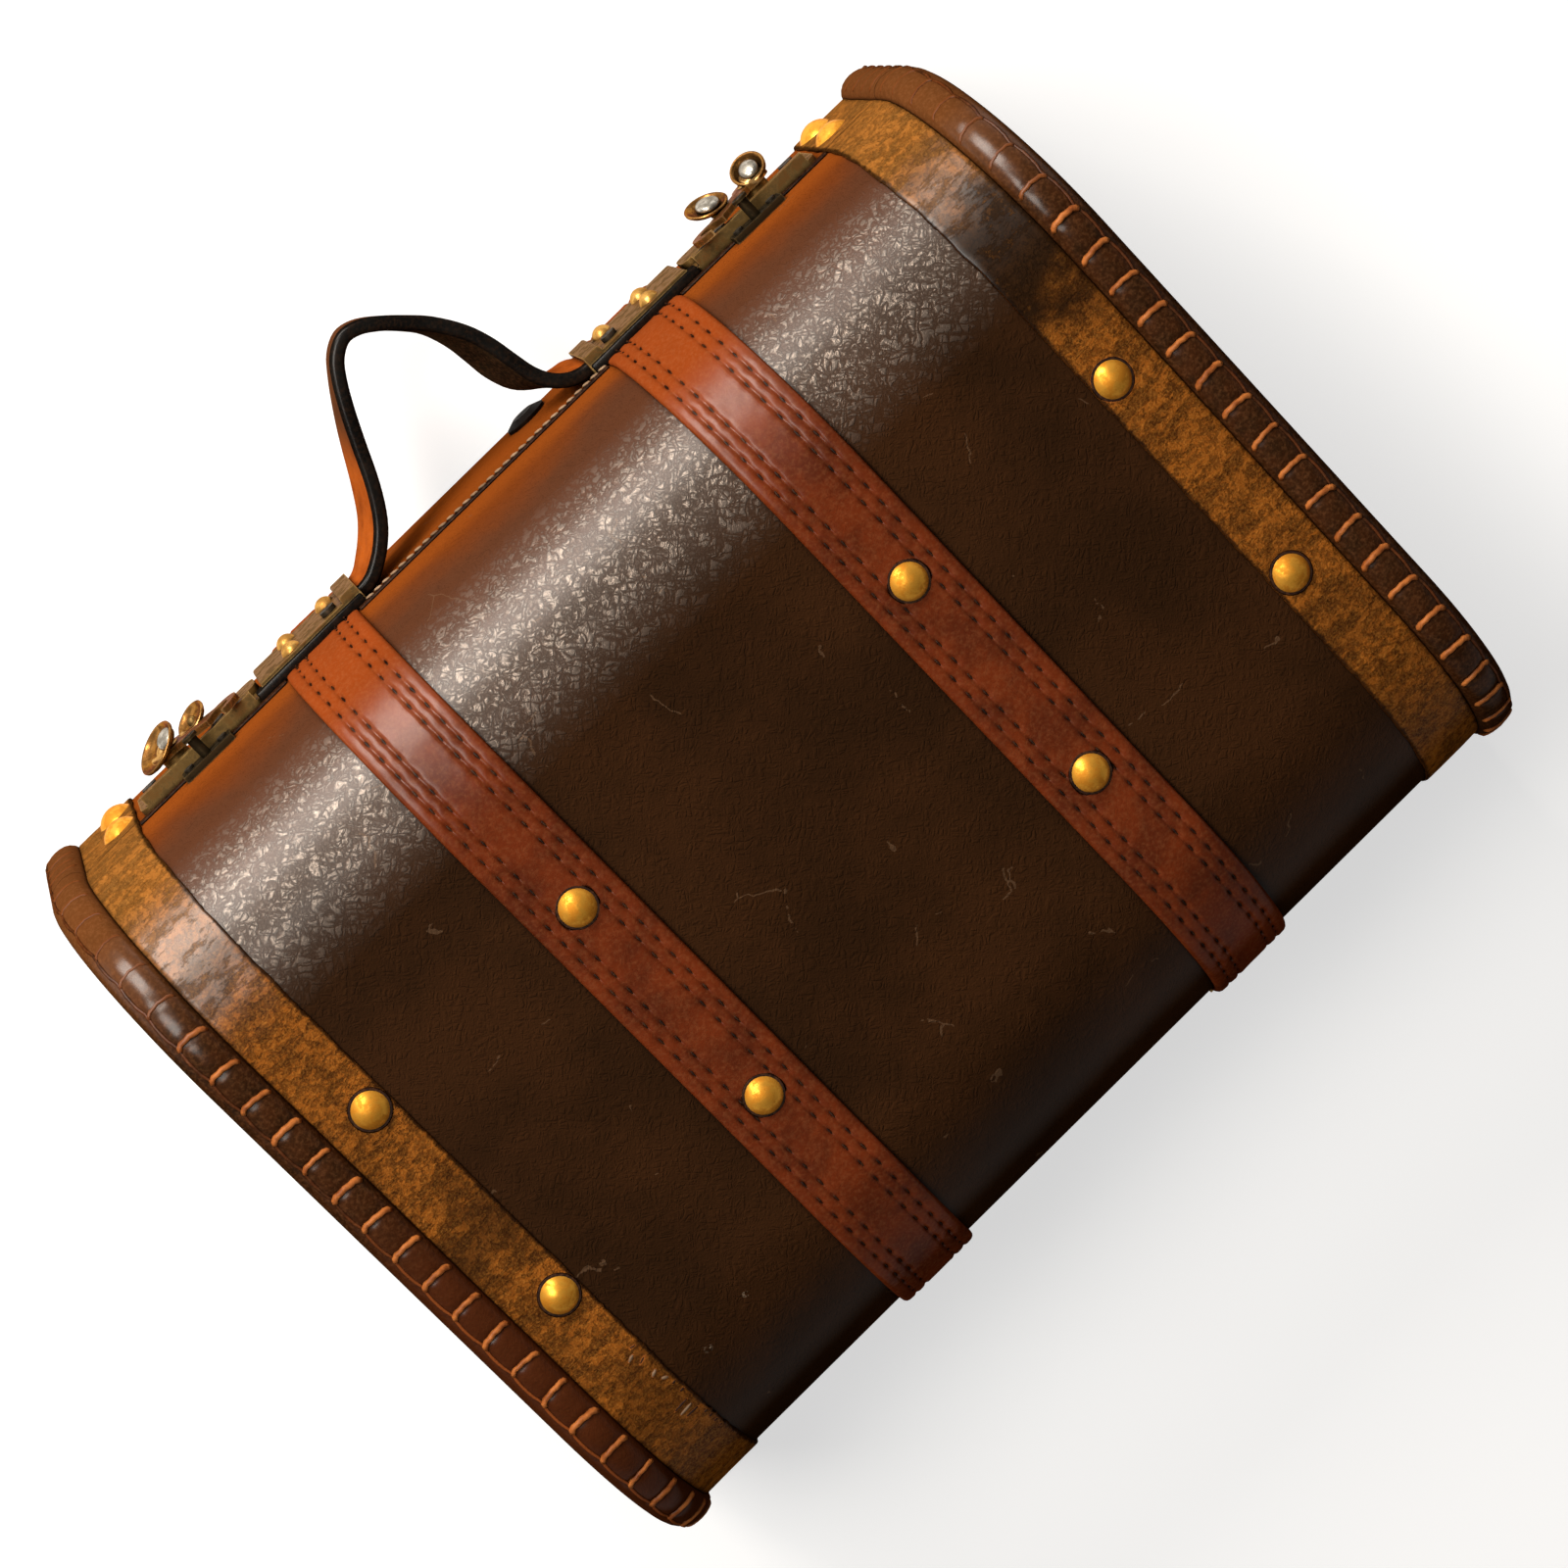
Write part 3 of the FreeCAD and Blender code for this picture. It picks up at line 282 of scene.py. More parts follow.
# %% New finish
def new_finish(name, roughness=0.5, metallic=0.0, specular=0.5, bump=0.0005, strength=0.5, **plain):
    """A material with its tree, its object coordinates, its shader and its bump."""
    finish = bpy.data.materials.new(name)
    finish.use_nodes = True
    tree = finish.node_tree
    tree.nodes.clear()
    place = add_node(tree, "TexCoord").outputs["Object"]
    relief = add_node(tree, "Bump", {"Strength": strength, "Distance": bump})
    shader = add_node(tree, "BsdfPrincipled", {"Roughness": roughness, "Metallic": metallic,
                                               "Specular IOR Level": specular, "Normal": relief.outputs[0]})
    for socket, value in plain.items():
        shader.inputs[socket.replace("_", " ")].default_value = value
    output = add_node(tree, "OutputMaterial")
    tree.links.new(shader.outputs[0], output.inputs[0])
    return finish, tree, place, shader, relief


def connect(tree, shader, relief, color, height):
    """Link the colour of a finish and the height of its relief."""
    tree.links.new(color, shader.inputs["Base Color"])
    tree.links.new(height, relief.inputs["Height"])


def stretched(tree, place, x, y, z):
    """Coordinates scaled along each axis: a small number draws a pattern out along that axis."""
    return add_node(tree, "Mapping", {"Vector": place, "Scale": (x, y, z)}).outputs[0]


def axis(tree, place, letter):
    """One coordinate by its letter."""
    return add_node(tree, "SeparateXYZ", {0: place}).outputs[letter]


def near_front(tree, y, none, full):
    """A mask along Y that is 0 at one distance behind the lid's front face and 1 at another."""
    return between(tree, y, FRONT_FACE + none, FRONT_FACE + full)


def wax(tree, place):
    """Two masks: how far a face looks up, where hands and cloths leave wax, and where it is polished."""
    looks = add_node(tree, "SeparateXYZ", {0: add_node(tree, "TexCoord").outputs["Normal"]}).outputs
    up = between(tree, sums(tree, "ABSOLUTE", looks["Z"]), 0.62, 0.98)
    not_an_end = between(tree, sums(tree, "ABSOLUTE", looks["X"]), 0.85, 0.55)
    stripe = use_group(tree, polish, Vector=place, Start=FRONT_FACE)
    return up, times(tree, stripe, not_an_end)


def clear_coat(tree, shader, waxed, polished):
    """Link the stronger of two masks to the clear coat."""
    tree.links.new(sums(tree, "MAXIMUM", waxed, polished), shader.inputs["Coat Weight"])


# %% [markdown]
# ## Cover leather
# The boards are covered in dark brown grained leather cloth. The top is nearly black-brown, the bend
# at the front is russet, its foot and the wall below are chestnut, so the colour follows the place
# along Y. These lighter front colours are partly the leather's own tone and partly painted light from
# the low front lamp. On the polished ridges of the grain a grey painted highlight is laid, and a
# little metal is mixed in there so that they glint, as a clear coat shows no relief. Faint clouds,
# scratches and chips keep the large face lively.

# %% Cover leather
DARK_BROWN = paint(54, 31, 14)
DEEP_BROWN = paint(42, 24, 10)
LIT_CHESTNUT = paint(104, 50, 17)
LIT_WARM_FRONT = paint(138, 68, 20)
LIT_RUSSET = paint(88, 52, 34)
GREY_HIGHLIGHT = paint(128, 116, 106)
SCRATCH = paint(110, 84, 62)
CHIP = paint(150, 132, 112)
COVER_DIRT_AND_SHADE = paint(14, 8, 5)
ARCH_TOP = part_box("lid_cover")[1].z
# Small chips in the cover: X, Y and reach, in metres.
SCUFFS = [(0.1217, 0.105, 0.0022), (0.1222, 0.112, 0.0014), (-0.1232, 0.120, 0.0020), (0.104, 0.101, 0.0014)]
# The line between two colours wanders: by a noise, and by a wave along X. Both in metres.
LINE_NOISE = 0.006
LINE_WAVE = -0.0014
RADIANS_PER_METRE = 57.0

cover_leather, tree, place, shader, relief = new_finish("cover_leather", specular=0.0, bump=0.00024,
                                                        strength=0.8, Coat_Roughness=0.3)
height = use_group(tree, grain, Vector=place, Pebbles=900.0, Creases=1.0, Folds=430.0)
up, shine = wax(tree, place)
clear_coat(tree, shader, times(tree, up, 0.3), times(tree, shine, 0.5))
ridges = between(tree, height, 0.05, 0.95)
glint = times(tree, shine, sums(tree, "MULTIPLY_ADD", ridges, 0.42, 0.08))
tree.links.new(glint, shader.inputs["Metallic"])
tree.links.new(between(tree, shine, 0.0, 0.6, 0.7, 0.32), shader.inputs["Roughness"])
clouds = use_group(tree, mottle, Vector=place, Size=22.0, Low=0.35, High=0.65)
brown = blend(tree, clouds, DEEP_BROWN, DARK_BROWN)
line = sums(tree, "MULTIPLY_ADD", soft_noise(tree, place, 60.0, 3.0), LINE_NOISE, axis(tree, place, "Y"))
wave = sums(tree, "COSINE", times(tree, axis(tree, place, "X"), RADIANS_PER_METRE))
line = sums(tree, "MULTIPLY_ADD", wave, LINE_WAVE, line)
# Russet, chestnut and the warm front wall: partly the leather's tone, partly painted front light.
color = laid_over(tree, brown, near_front(tree, line, 0.034, 0.010), 0.75, LIT_RUSSET)
color = blend(tree, near_front(tree, line, 0.009, 0.002), color, LIT_CHESTNUT)
color = blend(tree, near_front(tree, axis(tree, place, "Y"), 0.002, -0.001), color, LIT_WARM_FRONT)
# Painted highlight: grey laid on the polished ridges.
color = laid_over(tree, color, shine, sums(tree, "MULTIPLY_ADD", ridges, 0.65, 0.12), GREY_HIGHLIGHT)
color = laid_over(tree, color, use_group(tree, scratches, Vector=place), 0.35, SCRATCH)
chips = use_group(tree, mottle, Vector=place, Size=900.0, Low=0.50, High=0.56)
for x, y, reach in SCUFFS:
    far = add_node(tree, "VectorMath", {0: place, 1: (x, y, ARCH_TOP)}, operation="DISTANCE").outputs["Value"]
    color = laid_over(tree, color, between(tree, far, reach, reach * 0.4), chips, CHIP)
# Painted shade and dirt in the corners.
color = laid_over(tree, color, use_group(tree, corners, Reach=0.003), 0.75, COVER_DIRT_AND_SHADE)
connect(tree, shader, relief, color, height)

# %% [markdown]
# ## Hide bands
# The bands beside the rims are brushed hide: golden brown with darker marks that lie across the
# band, short fibres, and darker patches here and there. Four noises make it: broad patches, cross
# marks, small blotches and fine fibres. A few old stains come on top, and a dark inner edge, which is
# painted shadow where the band's cut edge stands over the cover.

# %% Hide
GOLD_HIDE = paint(150, 85, 26)
DARK_HIDE = paint(66, 35, 11)
PALE_HIDE = paint(188, 124, 50)
FADED_HIDE = paint(160, 112, 56)
STAIN_BROWN = paint(36, 22, 10)
EDGE_SHADOW = paint(24, 13, 6)
WORN_EDGE = paint(196, 112, 50)
HIDE_DIRT_AND_SHADE = paint(16, 9, 4)
BAND_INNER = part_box("lid_band_right")[0].x
# Each stain: its middle along Y, its reach in metres, its strength, and the hand of its band.
STAINS = [(-0.052, 0.028, 0.95, "left"), (0.084, 0.010, 0.35, "left"), (0.034, 0.015, 0.60, "right"),
          (0.103, 0.013, 0.45, "right"), (-0.062, 0.008, 0.40, "right")]
# A noise pushes the stains about along Y by up to this much, and half of it is taken off again.
STAIN_PUSH = 0.05

hide, tree, place, shader, relief = new_finish("hide", roughness=0.6, specular=0.0, bump=0.00035,
                                               strength=0.9, Coat_Roughness=0.36)
place_x, place_y = axis(tree, place, "X"), axis(tree, place, "Y")
patches = use_group(tree, mottle, Vector=place, Size=34.0, Low=0.42, High=0.70, Roughness=0.75)
cross = use_group(tree, mottle, Vector=stretched(tree, place, 0.4, 1.0, 1.0), Size=260.0, Low=0.50,
                  High=0.57, Roughness=0.75)
fibres = use_group(tree, mottle, Vector=place, Size=1300.0, Low=0.42, High=0.62)
blotches = use_group(tree, mottle, Vector=place, Size=400.0, Low=0.49, High=0.58, Roughness=0.7)
up, shine = wax(tree, place)
smooth = times(tree, shine, sums(tree, "MULTIPLY_ADD", cross, -0.6, 0.95))
clear_coat(tree, shader, times(tree, up, 0.25), smooth)
color = laid_over(tree, GOLD_HIDE, patches, 0.7, DARK_HIDE)
color = laid_over(tree, color, cross, 0.72, DARK_HIDE)
color = laid_over(tree, color, blotches, 0.55, DARK_HIDE)
color = laid_over(tree, color, fibres, 0.30, PALE_HIDE)
color = laid_over(tree, color, near_front(tree, place_y, 0.055, 0.0), 0.40, FADED_HIDE)
ragged = sums(tree, "MULTIPLY_ADD", soft_noise(tree, place, 70.0, 5.0), STAIN_PUSH, place_y)
seep = between(tree, times(tree, blotches, cross), 1.0, 0.0, 0.65, 1.0)
for centre, reach, strength, hand in STAINS:
    far = sums(tree, "ABSOLUTE", sums(tree, "SUBTRACT", ragged, centre + STAIN_PUSH / 2))
    own_side = sums(tree, "GREATER_THAN" if hand == "right" else "LESS_THAN", place_x, 0.0)
    stain = times(tree, between(tree, far, reach * 1.2, reach * 0.3), own_side)
    color = laid_over(tree, color, stain, times(tree, seep, strength), STAIN_BROWN)
# Painted shadow along the band's inner edge.
outward = sums(tree, "MULTIPLY_ADD", soft_noise(tree, place, 420.0, 3.0), 0.0016,
               sums(tree, "ABSOLUTE", place_x))
inner = between(tree, outward, BAND_INNER + 0.0021, BAND_INNER + 0.0011)
color = laid_over(tree, color, inner, 0.85, EDGE_SHADOW)
color = laid_over(tree, color, use_group(tree, rubbed, Reach=0.0007), 0.6, WORN_EDGE)
# Painted shade and dirt in the corners.
color = laid_over(tree, color, use_group(tree, corners, Reach=0.003), 0.85, HIDE_DIRT_AND_SHADE)
marks = sums(tree, "MULTIPLY_ADD", blotches, -0.9, times(tree, cross, -0.7))
connect(tree, shader, relief, color, sums(tree, "MULTIPLY_ADD", fibres, 0.5, marks))

# %% [markdown]
# ## Rolled rim leather, its lacing and the strap leather
# These are one family: waxed leather, lighter towards the front, with dark wax and painted shade in
# the corners. A helper makes the family, and each member has its own colours, gloss and grain. Four
# options tell where its colour changes: towards the front, where the lighter tone is partly the
# leather's own and partly painted light from the low front lamp; where it was rubbed at the front
# bend of the lid; on the rear half of the right side; and where the handle was gripped.

# %% Waxed leathers
LIT_FRONT_TONE = paint(150, 68, 24)
FLECK = paint(170, 112, 70)
LEATHER_DIRT_AND_SHADE = paint(12, 6, 4)


def waxed_leather(name, light, dark, gloss, pebbles, creases, strength, patch=70.0, fleck=0.14, worn=0.0,
                  front=LIT_FRONT_TONE, faded=None, redder=None, gripped=None):
    """Waxed leather: two colours in soft patches, fine grain, corners darkened with dirt and painted shade.
    """
    finish, tree, place, shader, relief = new_finish(name, roughness=0.6, specular=0.0, bump=0.00022,
                                                     strength=strength, Coat_Roughness=gloss)
    place_x, place_y = axis(tree, place, "X"), axis(tree, place, "Y")
    up, shine = wax(tree, place)
    clear_coat(tree, shader, times(tree, up, 0.36), times(tree, shine, 0.62))
    patches = use_group(tree, mottle, Vector=place, Size=patch, Low=0.35, High=0.68)
    color = blend(tree, patches, light, dark)
    # Lighter towards the front, by the share worn: partly the leather's tone, partly painted front light.
    color = laid_over(tree, color, near_front(tree, place_y, 0.045, -0.002), worn, front)
    fine = use_group(tree, mottle, Vector=place, Size=900.0, Low=0.40, High=0.75)
    color = laid_over(tree, color, fine, fleck, FLECK)
    if faded:
        color = laid_over(tree, color, near_front(tree, place_y, 0.046, 0.030), 0.9, faded)
    if redder:
        rear_right = times(tree, between(tree, place_y, 0.0, 0.045), sums(tree, "GREATER_THAN", place_x, 0.0))
        color = laid_over(tree, color, rear_right, 0.8, redder)
    if gripped:
        color = laid_over(tree, color, near_front(tree, place_y, -0.022, -0.042), 0.8, gripped)
    # Painted shade and dirt in the corners.
    color = laid_over(tree, color, use_group(tree, corners, Reach=0.002), 0.8, LEATHER_DIRT_AND_SHADE)
    height = use_group(tree, grain, Vector=place, Pebbles=pebbles, Creases=creases, Folds=520.0)
    connect(tree, shader, relief, color, height)
    return finish


strap_leather = waxed_leather("strap_leather", paint(106, 42, 15), paint(80, 31, 12), 0.36, 1100.0, 0.5, 0.3,
                              worn=0.6)
rim_leather = waxed_leather("rim_leather", paint(58, 30, 12), paint(42, 24, 10), 0.26, 900.0, 0.7, 0.4,
                            patch=180.0, worn=0.6, front=paint(112, 66, 32), redder=paint(74, 34, 14))
lacing = waxed_leather("lacing", paint(184, 108, 52), paint(128, 66, 28), 0.40, 1400.0, 0.6, 0.5,
                       patch=240.0, faded=paint(96, 52, 24))
rail_leather = waxed_leather("rail_leather", paint(88, 44, 18), paint(54, 28, 12), 0.42, 1400.0, 0.4, 0.4,
                             patch=150.0, redder=paint(140, 72, 30))
handle_leather = waxed_leather("handle_leather", paint(168, 82, 26), paint(132, 60, 18), 0.48, 800.0, 0.8,
                               0.4, gripped=paint(66, 48, 34))
handle_lining = waxed_leather("handle_lining", paint(46, 36, 24), paint(30, 22, 14), 0.5, 800.0, 0.8, 0.4)
black_edge = waxed_leather("black_edge", paint(20, 19, 17), paint(10, 9, 8), 0.26, 1300.0, 0.5, 0.4,
                           fleck=0.03)
thread = waxed_leather("thread", paint(40, 20, 12), paint(22, 11, 7), 0.6, 1500.0, 0.2, 0.4)
raw_edge = waxed_leather("raw_edge", paint(164, 136, 108), paint(104, 80, 58), 0.55, 1500.0, 0.6, 0.6)

# %% [markdown]
# ## Metals
# The nails are polished brass, the plates antique brass: browned all over and black in the corners,
# with bright metal where hands rub it. Patina is a mottle between two metal colours, and it is also
# rougher than the bare metal. The same corner mask as on the leather blackens the joints, partly as
# dirt and partly as painted shade. At a low angle a metal mirrors in its own colour, so that is set as
# the tint.

# %% Metals
METAL_DIRT_AND_SHADE = paint(18, 12, 7)


def metal(name, bright, brown, roughness, patina, spots=300.0, metallic=0.85, edge=None):
    """Metal with patches of patina, and corners darkened with dirt and painted shade."""
    finish, tree, place, shader, relief = new_finish(name, roughness=roughness, metallic=metallic,
                                                     bump=0.00004, strength=0.5, Specular_Tint=bright)
    patches = use_group(tree, mottle, Vector=place, Size=spots, Low=0.42, High=0.60, Roughness=0.7)
    color = laid_over(tree, bright, patches, patina, brown)
    # Painted shade and dirt in the corners.
    color = laid_over(tree, color, use_group(tree, corners, Reach=0.0022), 0.9, METAL_DIRT_AND_SHADE)
    if edge:
        color = laid_over(tree, color, use_group(tree, rubbed, Reach=0.0006), 0.8, edge)
    rough = between(tree, patches, 0.0, 1.0, roughness * 0.8, roughness * 1.5)
    tree.links.new(rough, shader.inputs["Roughness"])
    connect(tree, shader, relief, color, soft_noise(tree, place, 700.0, 4.0))
    return finish


nail_brass = metal("nail_brass", paint(238, 170, 62), paint(186, 116, 30), 0.42, 0.7, spots=260.0,
                   metallic=0.6)
antique_brass = metal("antique_brass", paint(152, 120, 70), paint(68, 55, 35), 0.42, 0.7,
                      edge=paint(214, 176, 112))
worn_steel = metal("worn_steel", paint(196, 190, 178), paint(92, 84, 72), 0.28, 0.7)
black_brass = metal("black_brass", paint(72, 60, 40), paint(32, 26, 18), 0.45, 0.8, edge=paint(120, 100, 66))
bright_brass = metal("bright_brass", paint(158, 112, 58), paint(84, 54, 26), 0.30, 0.8,
                     edge=paint(226, 184, 122))
rivet_brass = metal("rivet_brass", paint(206, 158, 84), paint(140, 96, 42), 0.36, 0.7, metallic=0.7)
screw_metal = metal("screw_metal", paint(108, 100, 88), paint(48, 42, 34), 0.36, 0.8)
dark_metal = metal("dark_metal", paint(48, 36, 28), paint(20, 16, 13), 0.34, 0.7)

# %% [markdown]
# ## Wood and lining
# Inside, the boards show only at their edges, and a brown felted lining covers the rest. The wood
# is a noise drawn far out along the board, the lining a very fine noise with a soft sheen.

# %% Wood and lining
bare_wood, tree, place, shader, relief = new_finish("bare_wood", roughness=0.6, bump=0.0003, strength=0.4)
rings = use_group(tree, mottle, Vector=stretched(tree, place, 0.06, 1.0, 1.0), Size=420.0, Low=0.3, High=0.7)
connect(tree, shader, relief, blend(tree, rings, paint(186, 146, 98), paint(138, 98, 60)), rings)

lining, tree, place, shader, relief = new_finish("lining", roughness=0.9, specular=0.2, bump=0.0003,
                                                 strength=0.5, Sheen_Weight=0.25, Sheen_Roughness=0.5)
nap = use_group(tree, mottle, Vector=place, Size=1300.0, Low=0.3, High=0.7)
shade = use_group(tree, mottle, Vector=place, Size=30.0, Low=0.3, High=0.7)
color = blend(tree, nap, paint(116, 84, 56), paint(88, 62, 40))
connect(tree, shader, relief, laid_over(tree, color, shade, 0.25, paint(70, 48, 30)), nap)

# %% [markdown]
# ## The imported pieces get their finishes
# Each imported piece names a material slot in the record. One table turns these slots into the
# finishes above, and every slot of every piece is filled from it.

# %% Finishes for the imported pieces
FINISHES = {
    "antique_brass": antique_brass, "brass_studs": nail_brass, "bright_brass": bright_brass,
    "dark_cap": dark_metal, "dark_screws": screw_metal, "gold_rivets": rivet_brass,
    "grained_cover": cover_leather, "handle_leather": handle_leather, "hide_band": hide,
    "lining": lining, "rolled_rim": rim_leather, "strap_leather": strap_leather, "wood": bare_wood,
}
OWN_FINISHES = {f"latch_keeper_{hand}": black_brass for hand, _ in SIDES}
for part in frame["record"]["subparts"]:
    piece = NODES[part["node"]]
    for holder in piece.material_slots:
        holder.material = OWN_FINISHES.get(part["node"], FINISHES[part["material_slot"]])
print("finishes used:", len(FINISHES))

# %% [markdown]
# ## The outline that everything follows
# Rims, bands and straps all run up the front, over the top and down the rear. This outline is two
# upright legs, two quarter bends and a flat run. It can be walked by distance, and any point beside
# it can be measured back to a distance and a lift off the cover. With these two calls a flat
# pattern, such as a row of stitches, can be laid round the bends.

# %% The outline of each half
class Arch:
    """The covered outline of the lid or the base across its depth."""

    def __init__(self, node, opening_is_low, radius):
        low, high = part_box(node)
        self.front, self.rear, self.radius = low.y, high.y, radius
        self.opening, self.face = (low.z, high.z) if opening_is_low else (high.z, low.z)
        self.way = 1 if opening_is_low else -1
        self.leg = abs(self.face - self.opening) - radius
        self.bend = radius * math.pi / 2
        self.flat = self.rear - self.front - 2 * radius
        self.length = 2 * (self.leg + self.bend) + self.flat
        self.bend_z = self.face - self.way * radius

    def at(self, distance, lift=0.0, x=0.0):
        """The point that far along from the front opening, and its outward direction."""
        if distance > self.length / 2:
            point, out = self.at(self.length - distance, lift, x)
            middle = self.front + self.rear
            return Vector((x, middle - point.y, point.z)), Vector((0.0, -out.y, out.z))
        if distance < self.leg:
            foot, out = Vector((x, self.front, self.opening + self.way * distance)), Vector((0, -1, 0))
        elif distance < self.leg + self.bend:
            turn = (distance - self.leg) / self.radius
            out = Vector((0, -math.cos(turn), self.way * math.sin(turn)))
            foot = Vector((x, self.front + self.radius, self.bend_z)) + out * self.radius
        else:
            run = distance - self.leg - self.bend
            foot, out = Vector((x, self.front + self.radius + run, self.face)), Vector((0, 0, self.way))
        return foot + out * lift, out

    def measure(self, point):
        """The distance along and the lift off the cover of a point near the outline."""
        behind = point.y > (self.front + self.rear) / 2
        y = self.front + self.rear - point.y if behind else point.y
        rise = (point.z - self.bend_z) * self.way
        if rise < 0:
            distance = (point.z - self.opening) * self.way
            lift = self.front - y
        elif y > self.front + self.radius:
            distance = self.leg + self.bend + y - self.front - self.radius
            lift = (point.z - self.face) * self.way
        else:
            across = self.front + self.radius - y
            distance = self.leg + math.atan2(rise, across) * self.radius
            lift = math.hypot(rise, across) - self.radius
        return (self.length - distance if behind else distance), lift


LID_BEND, BASE_BEND = 56 * MM, 8 * MM
ARCHES = {"lid": Arch("lid_cover", True, LID_BEND), "base": Arch("base_cover", False, BASE_BEND)}
for half, arch in ARCHES.items():
    print(half, "outline, mm:", round(arch.length / MM, 1))

# %% [markdown]
# ## Carrying a profile along the outline
# Blender's Spin operator turns a profile round an axis in steps. With an angle of zero and a step
# of its own it carries the profile straight, so one operator makes legs, bends and the flat run.
# The profile is drawn once, as it would look on the cut end, and the result is one even mesh whose
# rings are a chosen distance apart, fine enough for stitches to dent it.

# %% Profile, sweep and new pieces
# The outline's five stretches are numbered from 0: leg, bend, flat run, bend, leg.
BENDS = (1, 3)
SHORTEST_RUN = 1e-7


def profile_edges(bm, points):
    """Edges that join (x, lift) points into a closed loop, drawn as (x, y) in the flat."""
    verts = [bmesh.ops.create_vert(bm, co=(x, lift, 0.0))["vert"][0] for x, lift in points]
    return [bm.edges.new((one, other)) for one, other in zip(verts, verts[1:] + verts[:1])]


def edges_of(geometry):
    """The edges in an operator's result."""
    return [item for item in geometry if isinstance(item, bmesh.types.BMEdge)]


def sweep(arch, points, step, start=0.0):
    """A closed mesh: a profile of (x, lift) points carried along the outline, its ends filled."""
    bm = bmesh.new()
    edges = profile_edges(bm, points)
    foot, out = arch.at(start)
    along = (arch.at(start + MM)[0] - arch.at(start)[0]).normalized()
    frame_matrix = Matrix.Translation(foot) @ Matrix(((1, 0, 0), out, along)).transposed().to_4x4()
    bmesh.ops.transform(bm, matrix=frame_matrix, verts=bm.verts)
    bmesh.ops.edgeloop_fill(bm, edges=edges)
    marks = [0.0, arch.leg, arch.leg + arch.bend, arch.leg + arch.bend + arch.flat, arch.length - arch.leg,
             arch.length]
    for number, (low, high) in enumerate(zip(marks, marks[1:])):
        low = max(low, start)
        if high - low < SHORTEST_RUN:
            continue
        steps = max(1, round((high - low) / step))
        if number in BENDS:
            centre_y = arch.front + arch.radius if number == BENDS[0] else arch.rear - arch.radius
            centre = Vector((0, centre_y, arch.bend_z))
            turn = -arch.way * (high - low) / arch.radius
            made = bmesh.ops.spin(bm, geom=edges, cent=centre, axis=(1, 0, 0), angle=turn, steps=steps)
        else:
            run = (arch.at(high)[0] - arch.at(low)[0]) / steps
            made = bmesh.ops.spin(bm, geom=edges, cent=(0, 0, 0), axis=(1, 0, 0), dvec=run, angle=0.0,
                                  steps=steps)
        edges = edges_of(made["geom_last"])
    bmesh.ops.edgeloop_fill(bm, edges=edges)
    return bm


def new_piece(name, bm, finishes, body, replaces=()):
    """Turn a bmesh into a piece of the object that rides on a body. Large end faces stay flat."""
    bmesh.ops.recalc_face_normals(bm, faces=bm.faces)
    for face in bm.faces:
        face.smooth = len(face.verts) < 5
    mesh = bpy.data.meshes.new(name)
    bm.to_mesh(mesh)
    bm.free()
    for finish in finishes:
        mesh.materials.append(finish)
    piece = bpy.data.objects.new(name, mesh)
    bpy.context.scene.collection.objects.link(piece)
    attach(piece, body)
    if replaces:
        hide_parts(*replaces)
    print(name, "faces:", len(mesh.polygons))


def bell(value, width):
    """A smooth bump: 1 at zero, nearly 0 at twice the width."""
    return math.exp(-(value / width) ** 2)


def nearest_mark(distance, first, pitch):
    """How far a distance is from the nearest of a row of evenly spaced marks."""
    return (distance - first + pitch / 2) % pitch - pitch / 2


# %% [markdown]
# ## Rolled rims
# Each end of the case has a thick leather roll that is whipped to the case: a cord inside makes it
# round, and copper-brown lacing pulls it in every 11 to 12 mm, so that it puffs up between. The
# roll could be a bevelled curve, but its section isn't round: it is flat where it lies on the
# cover and laps over the end. So its section is swept, and the rings near each lace are sunk.

# %% Rim rolls
LACE_PITCH = 11.5 * MM
LACE_PLACES = {"right": 69.2 * MM, "left": 64.3 * MM}
# The roll's section: X and lift in mm, from its inner foot over the crown to the end board.
RIM_SECTION = [(153.3, 0.0), (153.25, 0.9), (153.7, 2.1), (154.7, 3.2), (156.0, 3.95), (157.6, 4.35),
               (159.2, 4.5), (160.8, 4.4), (162.3, 4.0), (163.7, 3.3), (165.0, 2.3), (166.0, 1.0),
               (166.7, -0.6), (167.05, -2.2), (166.9, -3.7), (166.2, -4.9), (165.0, -5.45), (163.2, -5.45),
               (161.25, -5.3), (161.25, 0.0)]
ROLL_CROWN = 159.2
ROLL_HALF = 6.2 * MM
# The front bend of the rolls was rubbed nearly smooth: this much relief is left, and how it comes back.
LEAST_RELIEF = 0.25
RELIEF_START = 0.022
RELIEF_FADE = 0.022


def first_lace(arch, hand):
    """The distance along the roll of the lace from which the others are counted."""
    return arch.length / 2 + LACE_PLACES[hand] - (arch.front + arch.rear) / 2


def lace_offset(arch, hand, distance):
    """How far along the roll a place is from the nearest lace."""
    return nearest_mark(distance, first_lace(arch, hand), LACE_PITCH)


def relief_left(y):
    """How much of the relief is left at a Y: 1 behind the front bend."""
    return min(1.0, max(LEAST_RELIEF, (y - FRONT_FACE - RELIEF_START) / RELIEF_FADE))


def keep_above_floor(bm):
    """Move what reaches below the floor up to it."""
    for vert in bm.verts:
        vert.co.z = max(vert.co.z, 0.0)


